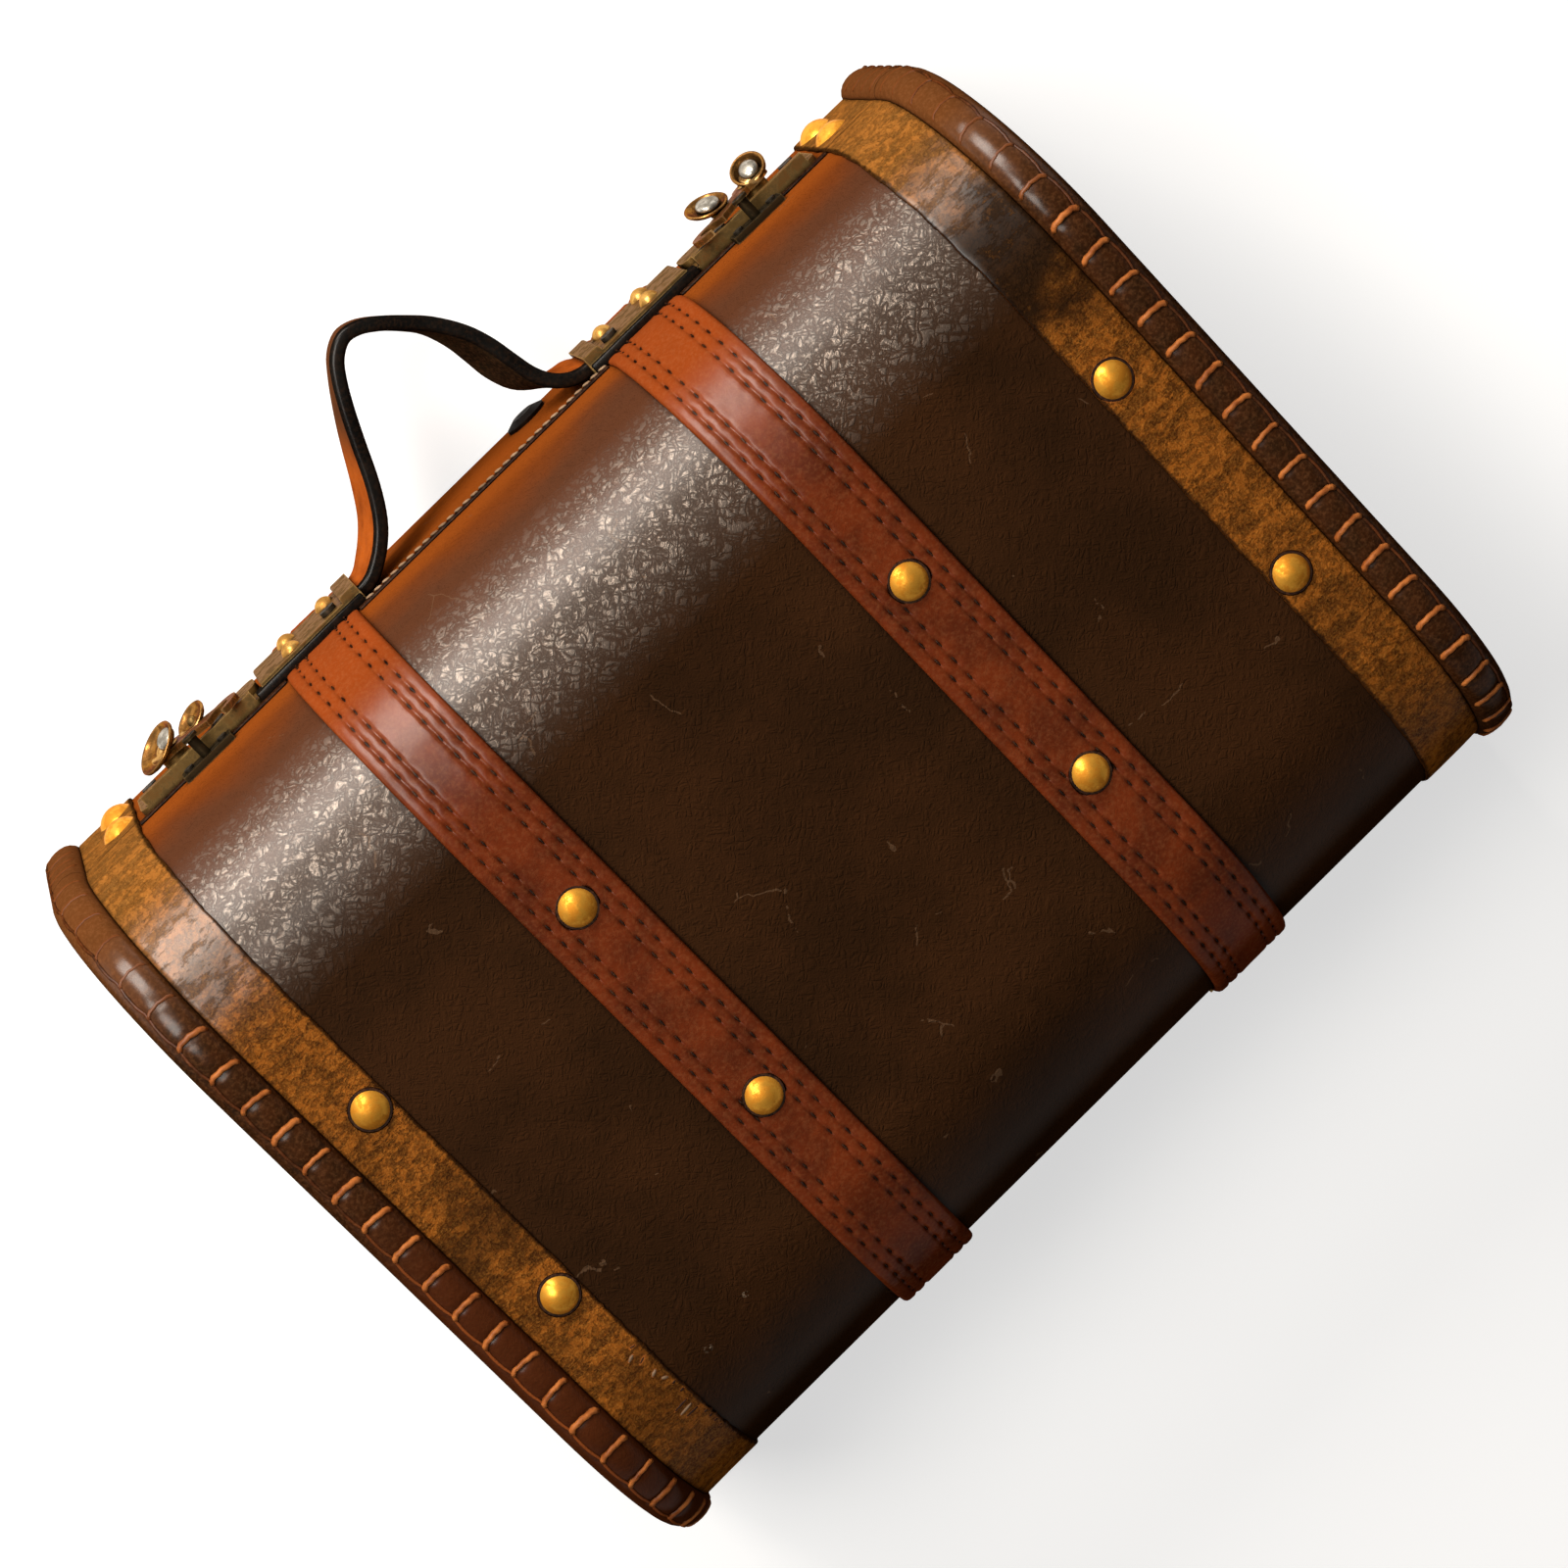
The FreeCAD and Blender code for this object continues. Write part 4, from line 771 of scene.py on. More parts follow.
for half, arch in ARCHES.items():
    for hand, side in SIDES:
        bm = sweep(arch, [(x * side * MM, lift * MM) for x, lift in RIM_SECTION], 1.15 * MM)
        for vert in bm.verts:
            distance, lift = arch.measure(vert.co)
            across = abs(abs(vert.co.x) - ROLL_CROWN * MM) / ROLL_HALF
            weight = max(0.0, 1.0 - across ** 2) if lift > 0.4 * MM else 0.0
            out = arch.at(distance)[1]
            lace = lace_offset(arch, hand, distance)
            sink = 0.85 * bell(lace, 1.1 * MM) - 0.15 * bell(abs(lace) - LACE_PITCH / 2, 3.0 * MM)
            sink *= relief_left(vert.co.y)
            wander = 0.25 * noise.noise(vert.co * 90.0) + 0.12 * noise.noise(vert.co * 260.0)
            vert.co += out * (wander - sink) * weight * MM
        keep_above_floor(bm)
        new_piece(f"{half}_roll_{hand}", bm, [rim_leather], half, [f"{half}_rim_{hand}"])

# %% [markdown]
# ## Lacing
# The lace lies across the crown of the roll at each pinch and turns down into it at both ends. A
# ring is extruded from point to point along the crown and turned to face along it, which makes a
# thin cord with closed ends. A second cord runs along the outer side of the roll under the laces.

# %% Cords on the rims
def cord_through(bm, points, radius):
    """A thin closed cord with six sides through points."""
    heading = (points[1] - points[0]).normalized()
    first = Matrix.Translation(points[0]) @ heading.to_track_quat("Z", "Y").to_matrix().to_4x4()
    ring = bmesh.ops.create_circle(bm, cap_ends=True, radius=radius, segments=6, matrix=first)["verts"]
    edges = list({edge for vert in ring for edge in vert.link_edges})
    for number in range(1, len(points)):
        after = points[min(number + 1, len(points) - 1)]
        onward = (after - points[number - 1]).normalized()
        made = bmesh.ops.extrude_edge_only(bm, edges=edges)["geom"]
        ring = {item for item in made if isinstance(item, bmesh.types.BMVert)}
        move = (Matrix.Translation(points[number]) @ heading.rotation_difference(onward).to_matrix().to_4x4()
                @ Matrix.Translation(-points[number - 1]))
        bmesh.ops.transform(bm, matrix=move, verts=list(ring))
        edges = [edge for edge in edges_of(made) if all(vert in ring for vert in edge.verts)]
        heading = onward
    bmesh.ops.edgeloop_fill(bm, edges=edges)


def add_copy(bm, shape, matrix=Matrix()):
    """Add a moved copy of a small bmesh to a larger one."""
    fresh = {vert.index: bm.verts.new(matrix @ vert.co) for vert in shape.verts}
    for face in shape.faces:
        bm.faces.new([fresh[vert.index] for vert in face.verts])


# The line of one lace: X, lift, and how far along the roll it strays, in mm.
LACE_LINE = [(154.7, 2.3, 1.3), (155.0, 3.05, 0.6), (155.9, 3.45, 0.1), (157.4, 3.85, 0.1),
             (158.9, 4.0, -0.25), (160.5, 3.95, 0.05), (161.9, 3.75, 0.0), (162.9, 3.5, 0.5),
             (163.3, 3.2, 1.3)]
LACE_RADIUS = 0.98 * MM
LACE_END_GAP = 2.5 * MM
# The outer cord: its middle as X and lift, and its radius, in mm. Its section is a hexagon.
RAIL_X, RAIL_LIFT, RAIL_RADIUS = 163.5, 3.25, 0.5
RAIL_SECTION = [(RAIL_X + RAIL_RADIUS * math.cos(number * math.pi / 3),
                 RAIL_LIFT + RAIL_RADIUS * math.sin(number * math.pi / 3)) for number in range(6)]
for half, arch in ARCHES.items():
    for hand, side in SIDES:
        bm = bmesh.new()
        first = first_lace(arch, hand)
        number = -math.floor(first / LACE_PITCH)
        rng = random.Random(7 + side)
        while first + number * LACE_PITCH < arch.length:
            place = first + number * LACE_PITCH
            number += 1
            if place < LACE_END_GAP or place > arch.length - LACE_END_GAP:
                continue
            lean = rng.uniform(-0.5, 0.5)
            line = [arch.at(place + (stray + lean * (x - ROLL_CROWN) / 5) * MM, lift * MM, x * side * MM)[0]
                    for x, lift, stray in LACE_LINE]
            lace = bmesh.new()
            worn = 0.5 + 0.5 * relief_left(arch.at(place)[0].y)
            cord_through(lace, line, LACE_RADIUS * rng.uniform(0.85, 1.1) * worn)
            lace.verts.index_update()
            add_copy(bm, lace)
            lace.free()
        keep_above_floor(bm)
        new_piece(f"{half}_laces_{hand}", bm, [lacing], half)
        bm = sweep(arch, [(x * side * MM, lift * MM) for x, lift in RAIL_SECTION], 2.3 * MM)
        for vert in bm.verts:
            distance, _ = arch.measure(vert.co)
            vert.co.x += 0.35 * MM * side * (1 - 2 * bell(lace_offset(arch, hand, distance), 2.0 * MM))
        new_piece(f"{half}_rail_{hand}", bm, [rail_leather], half)

# %% [markdown]
# ## Straps
# The two red-brown straps are thick leather with a pair of stitched lines near each edge. Each line
# lies in a shallow groove, and every stitch bites a deeper pit into it, so that the leather puckers
# up between stitches. A bump map could fake the lines, but real pits catch the low light from the
# side, so the profile is drawn finely at the grooves and the pits are pressed into its rings.

# %% Straps with grooves and pits
STRAP_X = sum(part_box("lid_strap_right")[corner].x for corner in (0, 1)) / 2
STITCH_ROWS = (5.7 * MM, 9.4 * MM)
STITCH_PITCH = 6.3 * MM
# Half of the strap's section: X from its middle and lift, in mm, with more points at the grooves.
half_section = [(13.45, 0.0), (13.6, 0.8), (13.45, 1.6), (12.95, 2.2), (12.2, 2.5), (11.4, 2.55),
                (10.7, 2.5), (10.2, 2.5), (9.8, 2.5), (9.4, 2.5), (9.0, 2.5), (8.6, 2.5), (8.0, 2.55),
                (7.5, 2.6), (7.0, 2.55), (6.5, 2.5), (6.1, 2.5), (5.7, 2.5), (5.3, 2.5), (4.9, 2.5),
                (4.3, 2.55), (3.3, 2.6), (2.2, 2.6), (1.1, 2.6)]
STRAP_LIFT = 2.6
STRAP_SECTION = half_section + [(0.0, STRAP_LIFT)] + [(-x, lift) for x, lift in reversed(half_section)]
# Each strap thins towards its first end, by this much and within this reach.
END_THINNING, END_REACH = 1.4 * MM, 9 * MM


def stitch_phase(row, side):
    """Where a row's first stitch is: neighbouring rows aren't in step."""
    return (1.3 if abs(row) > 7 * MM else 4.1) * MM + 1.1 * MM * side * math.copysign(1, row)


def press_stitches(bm, arch, side):
    """Grooves, pits and puckers along the four stitched lines of a strap."""
    for vert in bm.verts:
        distance, lift = arch.measure(vert.co)
        thin = END_THINNING * bell(distance, END_REACH) * lift / (STRAP_LIFT * MM)
        vert.co -= arch.at(distance)[1] * thin
        if lift < 2 * MM:
            continue
        across = vert.co.x - STRAP_X * side
        wobble = noise.noise(Vector((side * 9.0, distance * 60.0, 0.0))) * 0.3 * MM
        press = 0.0
        for row in STITCH_ROWS:
            for line in (row, -row):
                groove = bell(across - line - wobble, 0.5 * MM)
                pit = bell(nearest_mark(distance, stitch_phase(line, side), STITCH_PITCH), 1.35 * MM)
                pucker = bell(abs(across - line) - 1.1 * MM, 0.6 * MM) * (1 - pit)
                press += groove * (0.28 + 0.85 * pit) - 0.14 * pucker
        dents = 0.16 * noise.noise(vert.co * 70.0) + 0.05 * noise.noise(vert.co * 400.0)
        vert.co += arch.at(distance)[1] * (dents - press) * MM


# The base straps start this far down, below the pads of the handle brackets.
PAD_FOOT = 6.2 * MM
for half, arch in ARCHES.items():
    for hand, side in SIDES:
        bm = sweep(arch, [(x * MM + STRAP_X * side, lift * MM) for x, lift in STRAP_SECTION], 1.0 * MM,
                   start=0.0 if half == "lid" else PAD_FOOT)
        press_stitches(bm, arch, side)
        new_piece(f"{half}_strap_leather_{hand}", bm, [strap_leather], half,
                  [f"{half}_strap_{hand}"])

# %% [markdown]
# ## Stitches
# The thread is dark and sits down in its pits. There are hundreds of stitches, so each is a small
# sphere of few faces, drawn out along the strap, which keeps the whole model light.

# %% Stitches on the straps
bead = bmesh.new()
bmesh.ops.create_uvsphere(bead, u_segments=6, v_segments=4, radius=1.0)
bead.verts.index_update()


def add_bead(bm, place, out, along, size):
    """A small ellipsoid; size is its half length, half width and half height."""
    turn = Matrix((along, out.cross(along), out)).transposed().to_4x4()
    add_copy(bm, bead, Matrix.Translation(place) @ turn @ Matrix.Diagonal((*size, 1.0)))


STITCH_SIZE = (1.75 * MM, 0.42 * MM, 0.35 * MM)
STITCH_LIFT = 1.65 * MM
for half, arch in ARCHES.items():
    bm = bmesh.new()
    for hand, side in SIDES:
        for row in (*STITCH_ROWS, *(-row for row in STITCH_ROWS)):
            place = stitch_phase(row, side) + (STITCH_PITCH * 2 if half == "base" else 0.0)
            while place < arch.length - 2 * MM:
                spot, out = arch.at(place, STITCH_LIFT, STRAP_X * side + row)
                along = Vector((1, 0, 0)).cross(out)
                lean = 0.16 * noise.noise(Vector((place * 800.0, row * 900.0, side)))
                along = (along + Vector((lean, 0, 0))).normalized()
                add_bead(bm, spot, out, along, STITCH_SIZE)
                place += STITCH_PITCH
    new_piece(f"{half}_strap_stitches", bm, [thread], half)

# %% [markdown]
# ## Hide bands
# The bands are thin hide whose inner edge was cut by hand: it wanders, and on the right of the lid,
# towards the rear, it has frayed into little tufts. The sweep gives an even strip, and its inner
# edge is then moved in and out by noise, more where it is frayed.

# %% Bands
BAND_LOW, BAND_HIGH = (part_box("lid_band_right")[corner].x / MM for corner in (0, 1))
BAND_STEPS = 14
FRAYED = (72 * MM, 128 * MM)


def band_section(side):
    """A thin strip with a rounded inner edge, drawn with several points across."""
    width = BAND_HIGH - BAND_LOW
    top = [(BAND_LOW + 0.7 + (width - 1.0) * number / BAND_STEPS, 1.0) for number in range(BAND_STEPS + 1)]
    inner = [(BAND_LOW, 0.0), (BAND_LOW, 0.45), (BAND_LOW + 0.2, 0.85)]
    outer = [(BAND_HIGH, 0.7), (BAND_HIGH, 0.0)]
    return [(x * side * MM, lift * MM) for x, lift in inner + top + outer]


for half, arch in ARCHES.items():
    for hand, side in SIDES:
        bm = sweep(arch, band_section(side), 1.2 * MM)
        for vert in bm.verts:
            distance, lift = arch.measure(vert.co)
            inner = bell(abs(vert.co.x) - BAND_LOW * MM, 1.2 * MM)
            frayed = half == "lid" and side > 0 and FRAYED[0] < vert.co.y < FRAYED[1]
            ragged = noise.noise(Vector((side * 7.0, distance * 110.0, 2.0))) * 0.45
            ragged += noise.noise(Vector((side * 5.0, distance * 700.0, 4.0))) * (0.9 if frayed else 0.18)
            vert.co.x += ragged * inner * MM
            if lift > 0.6 * MM:
                wave = 0.22 * noise.noise(vert.co * 60.0) + 0.10 * noise.noise(vert.co * 300.0)
                vert.co += arch.at(distance)[1] * wave * (1 - inner) * MM
        new_piece(f"{half}_hide_band_{hand}", bm, [hide], half, [f"{half}_band_{hand}"])

# %% [markdown]
# ## The frayed edge
# There a few pale strands are torn loose, and cuts run in from the edge. Each is a drawn-out sphere,
# pale ones on the hide and dark ones in it; the dark colour of the cuts is painted shade in the slits.
# Most lie where the lid already bends down, so each mark is set on the outline at its own Y.

# %% Frayed edge
# Each mark: X, Y, its half length, and how far it turns from lying across the band, in degrees.
STRANDS = [(136.6, 98.0, 1.5, 25), (135.4, 101.2, 1.3, -35), (137.8, 112.6, 2.9, 4), (138.2, 90.5, 1.6, 20)]
CUTS = [(138.0, 110.6, 3.2, 3), (137.2, 114.6, 2.8, -4), (136.2, 93.0, 2.0, 18), (135.6, 88.4, 1.4, -12),
        (134.6, 104.0, 0.9, 8), (134.5, 117.6, 0.9, -6), (134.5, 119.8, 0.8, 5), (134.5, 122.2, 0.9, -3),
        (134.6, 124.6, 0.7, 4), (134.6, 107.4, 1.0, -5)]


def lid_distance(y):
    """How far along the lid's outline, from the front, its rear half reaches a Y."""
    arch = ARCHES["lid"]
    low, high = arch.length / 2, arch.length
    while high - low > 0.01 * MM:
        middle = (low + high) / 2
        low, high = (middle, high) if arch.at(middle)[0].y < y else (low, middle)
    return low


pale, dark = bmesh.new(), bmesh.new()
for bm, marks, lift, width in ((pale, STRANDS, 0.95, 0.6), (dark, CUTS, 0.85, 0.42)):
    for x, y, reach, turn in marks:
        spot, out = ARCHES["lid"].at(lid_distance(y * MM), lift * MM, x * MM)
        onward = Vector((0.0, out.z, -out.y))
        turn = math.radians(turn)
        along = Vector((1.0, 0.0, 0.0)) * math.cos(turn) + onward * math.sin(turn)
        add_bead(bm, spot, out, along, (reach * MM, width * MM, 0.4 * MM))
new_piece("frayed_strands", pale, [raw_edge], "lid")
# The cuts, drawn dark as painted shade in their slits.
new_piece("frayed_cuts", dark, [thread], "lid")

# %% [markdown]
# ## Nail seats
# Each nail has pressed a ring into the leather round its head. A low dark disc under each head makes
# the ring; its dark colour is painted shade round the head.

# %% Seats under the nails, dark as painted shade
NAIL_RADIUS = 5.5 * MM
SEAT_RADIUS, SEAT_HEIGHT = 6.25 * MM, 0.22 * MM
# The X of a row of nails, and how high its leather stands on the lid.
NAIL_PLACES = ((STRAP_X, 2.5 * MM), (139.4 * MM, 1.0 * MM))
low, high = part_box("lid_strap_studs")
rows = (low.y + NAIL_RADIUS, high.y - NAIL_RADIUS)
bm = bmesh.new()
for x, top in NAIL_PLACES:
    for side in (-1, 1):
        for y in rows:
            middle = Vector((x * side, y, ARCHES["lid"].face + top + SEAT_HEIGHT / 2))
            bmesh.ops.create_cone(bm, cap_ends=True, segments=28, radius1=SEAT_RADIUS,
                                  radius2=SEAT_RADIUS * 0.94, depth=SEAT_HEIGHT,
                                  matrix=Matrix.Translation(middle))
new_piece("lid_nail_seats", bm, [thread], "lid")
print("nail rows at", [round(y / MM, 1) for y in rows])

# %% [markdown]
# ## Handle
# The handle is a flat strap on edge, orange outside and dark inside, with thick black edges. It has
# sagged out of shape: it leaves one bracket in a long slope, bends round at the top, and twists as
# it comes down, so that from above its inside shows. The section is a rounded rectangle, carried
# along a smooth line and turned a little more or less at each station.

# %% Handle line
HANDLE_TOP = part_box("handle_strap")[1].z
HANDLE_WIDTH, HANDLE_THICK = 22 * MM, 4.3 * MM
HANDLE_CORNER = 1.5 * MM
BLACK_EDGE_WIDTH = 1.7 * MM
# Each row is a station: X and Y of the upper edge, and how far the lower edge stands out beyond it, in mm.
HANDLE_LINE = [(48.2, -99.95, 0.0), (44.5, -99.95, 0.6), (41.0, -100.3, 1.4), (37.3, -101.7, 2.2),
               (31.9, -105.2, 2.8), (26.5, -110.6, 3.0), (21.2, -119.1, 2.8), (15.9, -130.6, 1.6),
               (11.9, -139.0, 0.4), (7.9, -146.2, -0.6), (4.0, -151.2, -1.0), (-1.0, -154.0, -1.2),
               (-5.9, -153.2, -1.2), (-10.9, -150.0, -1.2), (-16.4, -145.0, -1.4), (-21.5, -139.6, -2.2),
               (-26.5, -132.0, -4.6), (-29.3, -124.6, -6.2), (-30.7, -117.5, -6.6), (-32.0, -110.8, -5.2),
               (-34.2, -105.6, -1.8), (-37.8, -101.9, 1.4), (-41.5, -100.3, 1.6), (-44.5, -99.95, 0.6),
               (-48.2, -99.95, 0.0)]


def smooth_stations(stations, steps):
    """More stations between those given, on smooth curves through them."""
    spots = [Vector(station) for station in stations]
    fine = []
    last = len(spots) - 1
    for number in range(last):
        before, start, end, after = (spots[max(0, min(last, number + shift))] for shift in (-1, 0, 1, 2))
        leaving, coming = start + (end - before) / 6, end - (after - start) / 6
        fine += interpolate_bezier(start, leaving, coming, end, steps + 1)[:-1]
    return fine + [spots[-1]]


stations = smooth_stations(HANDLE_LINE, 4)
print("handle stations:", len(stations))

# %% Handle strap
def handle_frame(number):
    """The matrix that puts a section, drawn with its width along -Z, at a station."""
    before, after = stations[max(0, number - 1)], stations[min(len(stations) - 1, number + 1)]
    along = Vector((after.x - before.x, after.y - before.y, 0)).normalized()
    out = Vector((-along.y, along.x, 0))
    lean = math.asin(stations[number].z * MM / HANDLE_WIDTH)
    down = Vector((0, 0, -math.cos(lean))) + out * math.sin(lean)
    face = out * math.cos(lean) + Vector((0, 0, math.sin(lean)))
    place = Vector((stations[number].x * MM, stations[number].y * MM, HANDLE_TOP))
    return Matrix.Translation(place) @ Matrix((along, face, down)).transposed().to_4x4()


bm = bmesh.new()
bmesh.ops.create_grid(bm, x_segments=1, y_segments=6, size=0.5)
bmesh.ops.scale(bm, vec=(HANDLE_THICK, HANDLE_WIDTH, 1.0), verts=bm.verts)
corner_verts = [vert for vert in bm.verts if abs(abs(vert.co.y) - HANDLE_WIDTH / 2) < 1e-6]
bmesh.ops.bevel(bm, geom=corner_verts, offset=HANDLE_CORNER, segments=4, profile=0.5, affect="VERTICES",
                material=-1)
bmesh.ops.dissolve_faces(bm, faces=bm.faces)
for vert in bm.verts:
    vert.co = Vector((0.0, vert.co.x, HANDLE_WIDTH / 2 - vert.co.y))
ring = list(bm.edges)
bmesh.ops.transform(bm, matrix=handle_frame(0), verts=bm.verts)
for number in range(1, len(stations)):
    made = bmesh.ops.extrude_edge_only(bm, edges=ring)["geom"]
    fresh = {item for item in made if isinstance(item, bmesh.types.BMVert)}
    move = handle_frame(number) @ handle_frame(number - 1).inverted()
    bmesh.ops.transform(bm, matrix=move, verts=list(fresh))
    ring = [edge for edge in edges_of(made) if all(vert in fresh for vert in edge.verts)]
    outside = handle_frame(number).inverted()
    for face in {face for edge in ring for face in edge.link_faces}:
        middle = outside @ face.calc_center_median()
        edge_near = min(middle.z, HANDLE_WIDTH - middle.z)
        face.material_index = 2 if edge_near < BLACK_EDGE_WIDTH else (0 if middle.y > 0 else 1)
bmesh.ops.edgeloop_fill(bm, edges=ring)
new_piece("handle_leather", bm, [handle_leather, handle_lining, black_edge], "base",
          ["handle_strap"])

# %% [markdown]
# ## Pads under the handle brackets
# A black leather pad lies between each bracket and the case, and shows as a dark line along the
# bracket; the dark line is partly this pad and partly painted shadow under the bracket. A box with
# bevelled edges is enough, as only its rim is seen.

# %% Bracket pads, partly painted shadow
def add_block(bm, low, high, bevel_width):
    """A box between two corners with bevelled edges."""
    low, high = Vector(low), Vector(high)
    shape = Matrix.Translation((low + high) / 2) @ Matrix.Diagonal((*(high - low), 1.0))
    made = bmesh.ops.create_cube(bm, size=1.0, matrix=shape)["verts"]
    edges = list({edge for vert in made for edge in vert.link_edges})
    bmesh.ops.bevel(bm, geom=edges, offset=bevel_width, segments=2, profile=0.5, affect="EDGES", material=-1)


BASE_FRONT = ARCHES["base"].front
PAD_X = (44.8 * MM, 85.0 * MM)
PAD_OUT = (3.3 * MM, 0.05 * MM)
PAD_Z = (53.4 * MM, 58.5 * MM)
for hand, side in SIDES:
    bm = bmesh.new()
    low_x, high_x = sorted(x * side for x in PAD_X)
    add_block(bm, (low_x, BASE_FRONT - PAD_OUT[0], PAD_Z[0]), (high_x, BASE_FRONT - PAD_OUT[1], PAD_Z[1]),
              0.5 * MM)
    new_piece(f"bracket_pad_{hand}", bm, [black_edge], "base")

# %% [markdown]
# ## Dishes on the hooks
# The hooks end in little dished plates that were bent up out of line over the years, so each leans
# its own way. The right hook has a wide one and a smaller one, the left hook a deep ring and a
# shallow one, and each holds a rivet head. A turned shape needs only half its outline: Spin carries
# it once round an axis.

# %% Turned shapes
def turned(outline):
    """A closed shape: (radius, height) points, the first and last on the axis, spun once round Z."""
    bm = bmesh.new()
    verts = [bmesh.ops.create_vert(bm, co=(radius * MM, 0.0, height * MM))["vert"][0]
             for radius, height in outline]
    edges = [bm.edges.new(pair) for pair in zip(verts, verts[1:])]
    bmesh.ops.spin(bm, geom=verts + edges, cent=(0, 0, 0), axis=(0, 0, 1), angle=math.tau, steps=40,
                   use_merge=True)
    bmesh.ops.remove_doubles(bm, verts=bm.verts, dist=1e-6)
    bm.verts.index_update()
    return bm


def facing(x, lift, z, sideways, up):
    """A place in front of the base and a turn, in degrees, sideways and up from facing forwards."""
    sideways, up = math.radians(sideways), math.radians(up)
    out = Vector((math.sin(sideways) * math.cos(up), -math.cos(sideways) * math.cos(up), math.sin(up)))
    return (Matrix.Translation((x * MM, BASE_FRONT - lift * MM, z * MM))
            @ out.to_track_quat("Z", "Y").to_matrix().to_4x4())


def dish(radius, hollow, rim):
    """The outline of a dished plate with a rolled rim, from the axis round and back to it."""
    under = [(0.0, 0.0), (radius * 0.55, 0.15), (radius * 0.88, 0.5 * hollow), (radius, hollow)]
    roll = [(radius + 0.15, hollow + rim), (radius - 0.25, hollow + 1.5 * rim),
            (radius - 0.75, hollow + 1.2 * rim), (radius - 1.1, hollow + 0.3)]
    return under + roll + [(radius * 0.6, 0.95), (0.0, 0.8)]


def stud_head(radius, height):
    """The outline of a low rounded head."""
    return [(0.0, 0.0), (radius, 0.0), (radius + 0.1, height * 0.4), (radius * 0.9, height * 0.8),
            (radius * 0.6, height), (0.0, height)]


# %% Dishes
# Each row: the outline, then X, lift and Z in mm with its turn sideways and up, and its finish.
DISHES = {
    "right": [(dish(8.0, 1.5, 0.7), (115.0, 8.1, 42.5, 22, 15), bright_brass),
              (stud_head(3.3, 1.9), (111.8, 9.6, 43.8, 22, 24), worn_steel),
              (dish(5.7, 1.4, 0.6), (102.8, 7.3, 42.4, 18, 17), bright_brass),
              (stud_head(1.6, 2.6), (103.2, 6.9, 42.2, 10, 5), antique_brass)],
    "left": [(dish(5.4, 1.7, 0.9), (-115.8, 8.4, 42.2, 6, 42), bright_brass),
             (stud_head(3.0, 2.2), (-115.8, 9.2, 43.2, 6, 46), worn_steel),
             (dish(6.5, 1.3, 0.6), (-99.6, 9.2, 42.4, -16, 20), bright_brass),
             (stud_head(3.6, 1.8), (-100.4, 10.2, 42.8, -16, 22), worn_steel),
             (stud_head(1.6, 2.6), (-100.6, 6.9, 42.2, 0, 5), antique_brass)],
}
for hand, shapes in DISHES.items():
    bm = bmesh.new()
    finishes = []
    for outline, place, finish in shapes:
        shape = turned(outline)
        before = len(bm.faces)
        add_copy(bm, shape, facing(*place))
        shape.free()
        if finish not in finishes:
            finishes.append(finish)
        bm.faces.ensure_lookup_table()
        for face in bm.faces[before:]:
            face.material_index = finishes.index(finish)
    new_piece(f"hook_dishes_{hand}", bm, finishes, f"hook_{hand}", [f"latch_disc_{hand}"])

# %% [markdown]
# ## Stitched edging at the seam
# The lower front edge of the lid is bound with a narrow dark strip, a bevelled block in each space
# beside the straps; its darkness is partly the binding and partly painted shadow in the seam. Between
# the straps it is oversewn with pale thread, so it looks like a rope: each pale stitch is a drawn-out
# sphere that leans the same way.

# %% Seam edging
SEAM_Z = 58.5 * MM
EDGING_OUT = 0.8 * MM
EDGING_LOW, EDGING_HIGH = SEAM_Z + 0.35 * MM, SEAM_Z + 3.6 * MM
# Where the strip runs, in mm along X. Only the first, between the straps, is oversewn.
EDGING = [(-48.0, 48.0), (76.4, 132.6), (-132.6, -76.4)]
EDGING_PITCH = 3.1 * MM
EDGING_STITCH = (1.7 * MM, 0.7 * MM, 0.5 * MM)
FORWARD = Vector((0, -1, 0))
strip, pale = bmesh.new(), bmesh.new()
for low_x, high_x in EDGING:
    add_block(strip, (low_x * MM, BASE_FRONT - EDGING_OUT, EDGING_LOW),
              (high_x * MM, BASE_FRONT, EDGING_HIGH), 0.3 * MM)
sewn_low, sewn_high = EDGING[0]
for number in range(int((sewn_high - sewn_low) * MM / EDGING_PITCH)):
    x = sewn_low * MM + (number + 0.5) * EDGING_PITCH
    wander = noise.noise(Vector((x * 300.0, 3.0, 1.0)))
    along = Vector((1.0, -0.10, -0.34 + 0.15 * wander)).normalized()
    spot = Vector((x, BASE_FRONT - 1.0 * MM, SEAM_Z + (1.8 + 0.25 * wander) * MM))
    out = FORWARD - along * along.dot(FORWARD)
    add_bead(pale, spot, out.normalized(), along, EDGING_STITCH)
# The dark strip: binding, and painted shadow in the seam.
new_piece("seam_binding", strip, [thread], "lid")
new_piece("seam_stitches", pale, [raw_edge], "lid")
bead.free()

# %% [markdown]
# ## Floor and light
# The photograph has a white ground and one large soft light low in front of the chest: it shines
# back from the bent front edge of the lid, where the leather is tilted about 40 degrees. A second,
# higher light and a dim grey sky fill the rest. The floor is a pale sheet that looks white to the
# camera and still takes the shadow.

# %% Floor
FLOOR_REACH = 20.0
FLOOR_GREY = 0.55
FLOOR_GLOW = 0.62

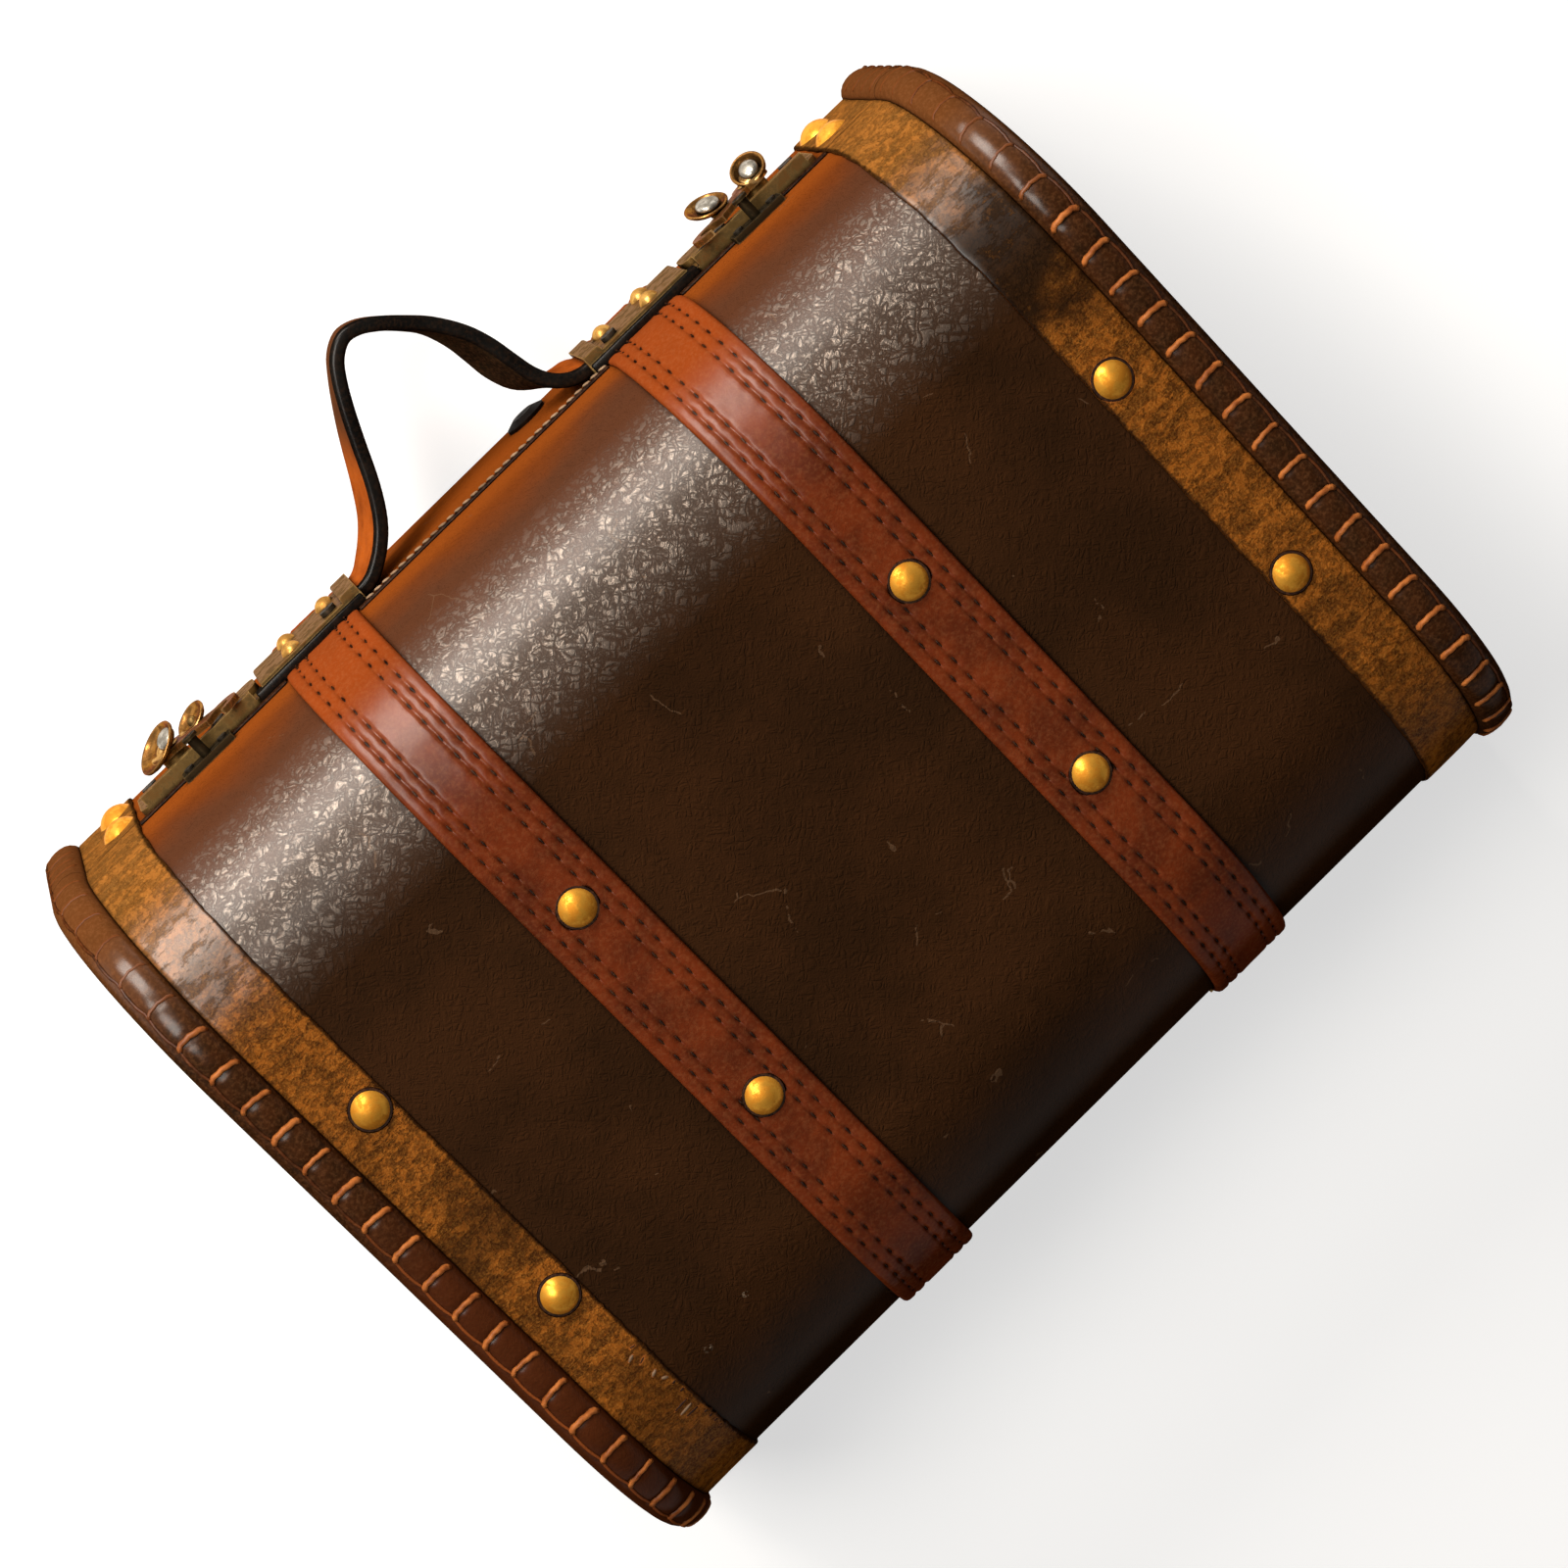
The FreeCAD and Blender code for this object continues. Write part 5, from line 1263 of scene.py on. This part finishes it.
floor_mesh = bpy.data.meshes.new("floor")
bm = bmesh.new()
bmesh.ops.create_grid(bm, x_segments=1, y_segments=1, size=FLOOR_REACH)
bm.to_mesh(floor_mesh)
bm.free()
floor = bpy.data.objects.new("floor", floor_mesh)
bpy.context.scene.collection.objects.link(floor)
floor_finish, tree, place, shader, relief = new_finish("floor_paper", roughness=0.9, specular=0.1)
shader.inputs["Base Color"].default_value = (FLOOR_GREY, FLOOR_GREY, FLOOR_GREY, 1.0)
path = add_node(tree, "LightPath").outputs
bounced = sums(tree, "MAXIMUM", path["Is Glossy Ray"], path["Is Transmission Ray"])
seen = sums(tree, "MAXIMUM", path["Is Camera Ray"], bounced)
shader.inputs["Emission Color"].default_value = (1.0, 1.0, 1.0, 1.0)
tree.links.new(times(tree, seen, FLOOR_GLOW), shader.inputs["Emission Strength"])
floor_mesh.materials.append(floor_finish)

# %% Lights
LIGHT_AIM = Vector((0.0, 0.0, 0.08))


def soft_light(name, place, width, height, power, color):
    """A rectangular light that faces the chest."""
    data = bpy.data.lights.new(name, "AREA")
    data.shape = "RECTANGLE"
    data.size, data.size_y = width, height
    data.energy = power
    data.color = color
    light = bpy.data.objects.new(name, data)
    bpy.context.scene.collection.objects.link(light)
    light.location = place
    light.rotation_euler = (LIGHT_AIM - Vector(place)).to_track_quat("-Z", "Y").to_euler()


soft_light("front_light", (0.14, -1.50, 0.82), 0.8, 0.7, 31.0, (1.0, 0.93, 0.85))
soft_light("high_light", (0.60, -0.80, 1.45), 0.7, 0.7, 19.0, (1.0, 0.95, 0.88))

# %% [markdown]
# The sky is pale at the horizon and dark overhead. The chest's polished top mirrors what is above
# it, so a bright sky would veil its deep brown. A gradient on the direction's height does this.

# %% Sky
# The sky fades from one strength to the other between two heights of its direction.
SKY_HEIGHTS = (0.10, 0.70)
SKY_STRENGTHS = (0.36, 0.03)

world = bpy.data.worlds.new("studio")
bpy.context.scene.world = world
world.use_nodes = True
tree = world.node_tree
tree.nodes.clear()
direction = add_node(tree, "TexCoord").outputs["Generated"]
height = add_node(tree, "SeparateXYZ", {0: direction}).outputs["Z"]
shade = between(tree, height, *SKY_HEIGHTS, *SKY_STRENGTHS)
sky = add_node(tree, "Background", {"Color": (1.0, 0.99, 0.97, 1.0), "Strength": shade})
ground = add_node(tree, "OutputWorld")
tree.links.new(sky.outputs[0], ground.inputs[0])
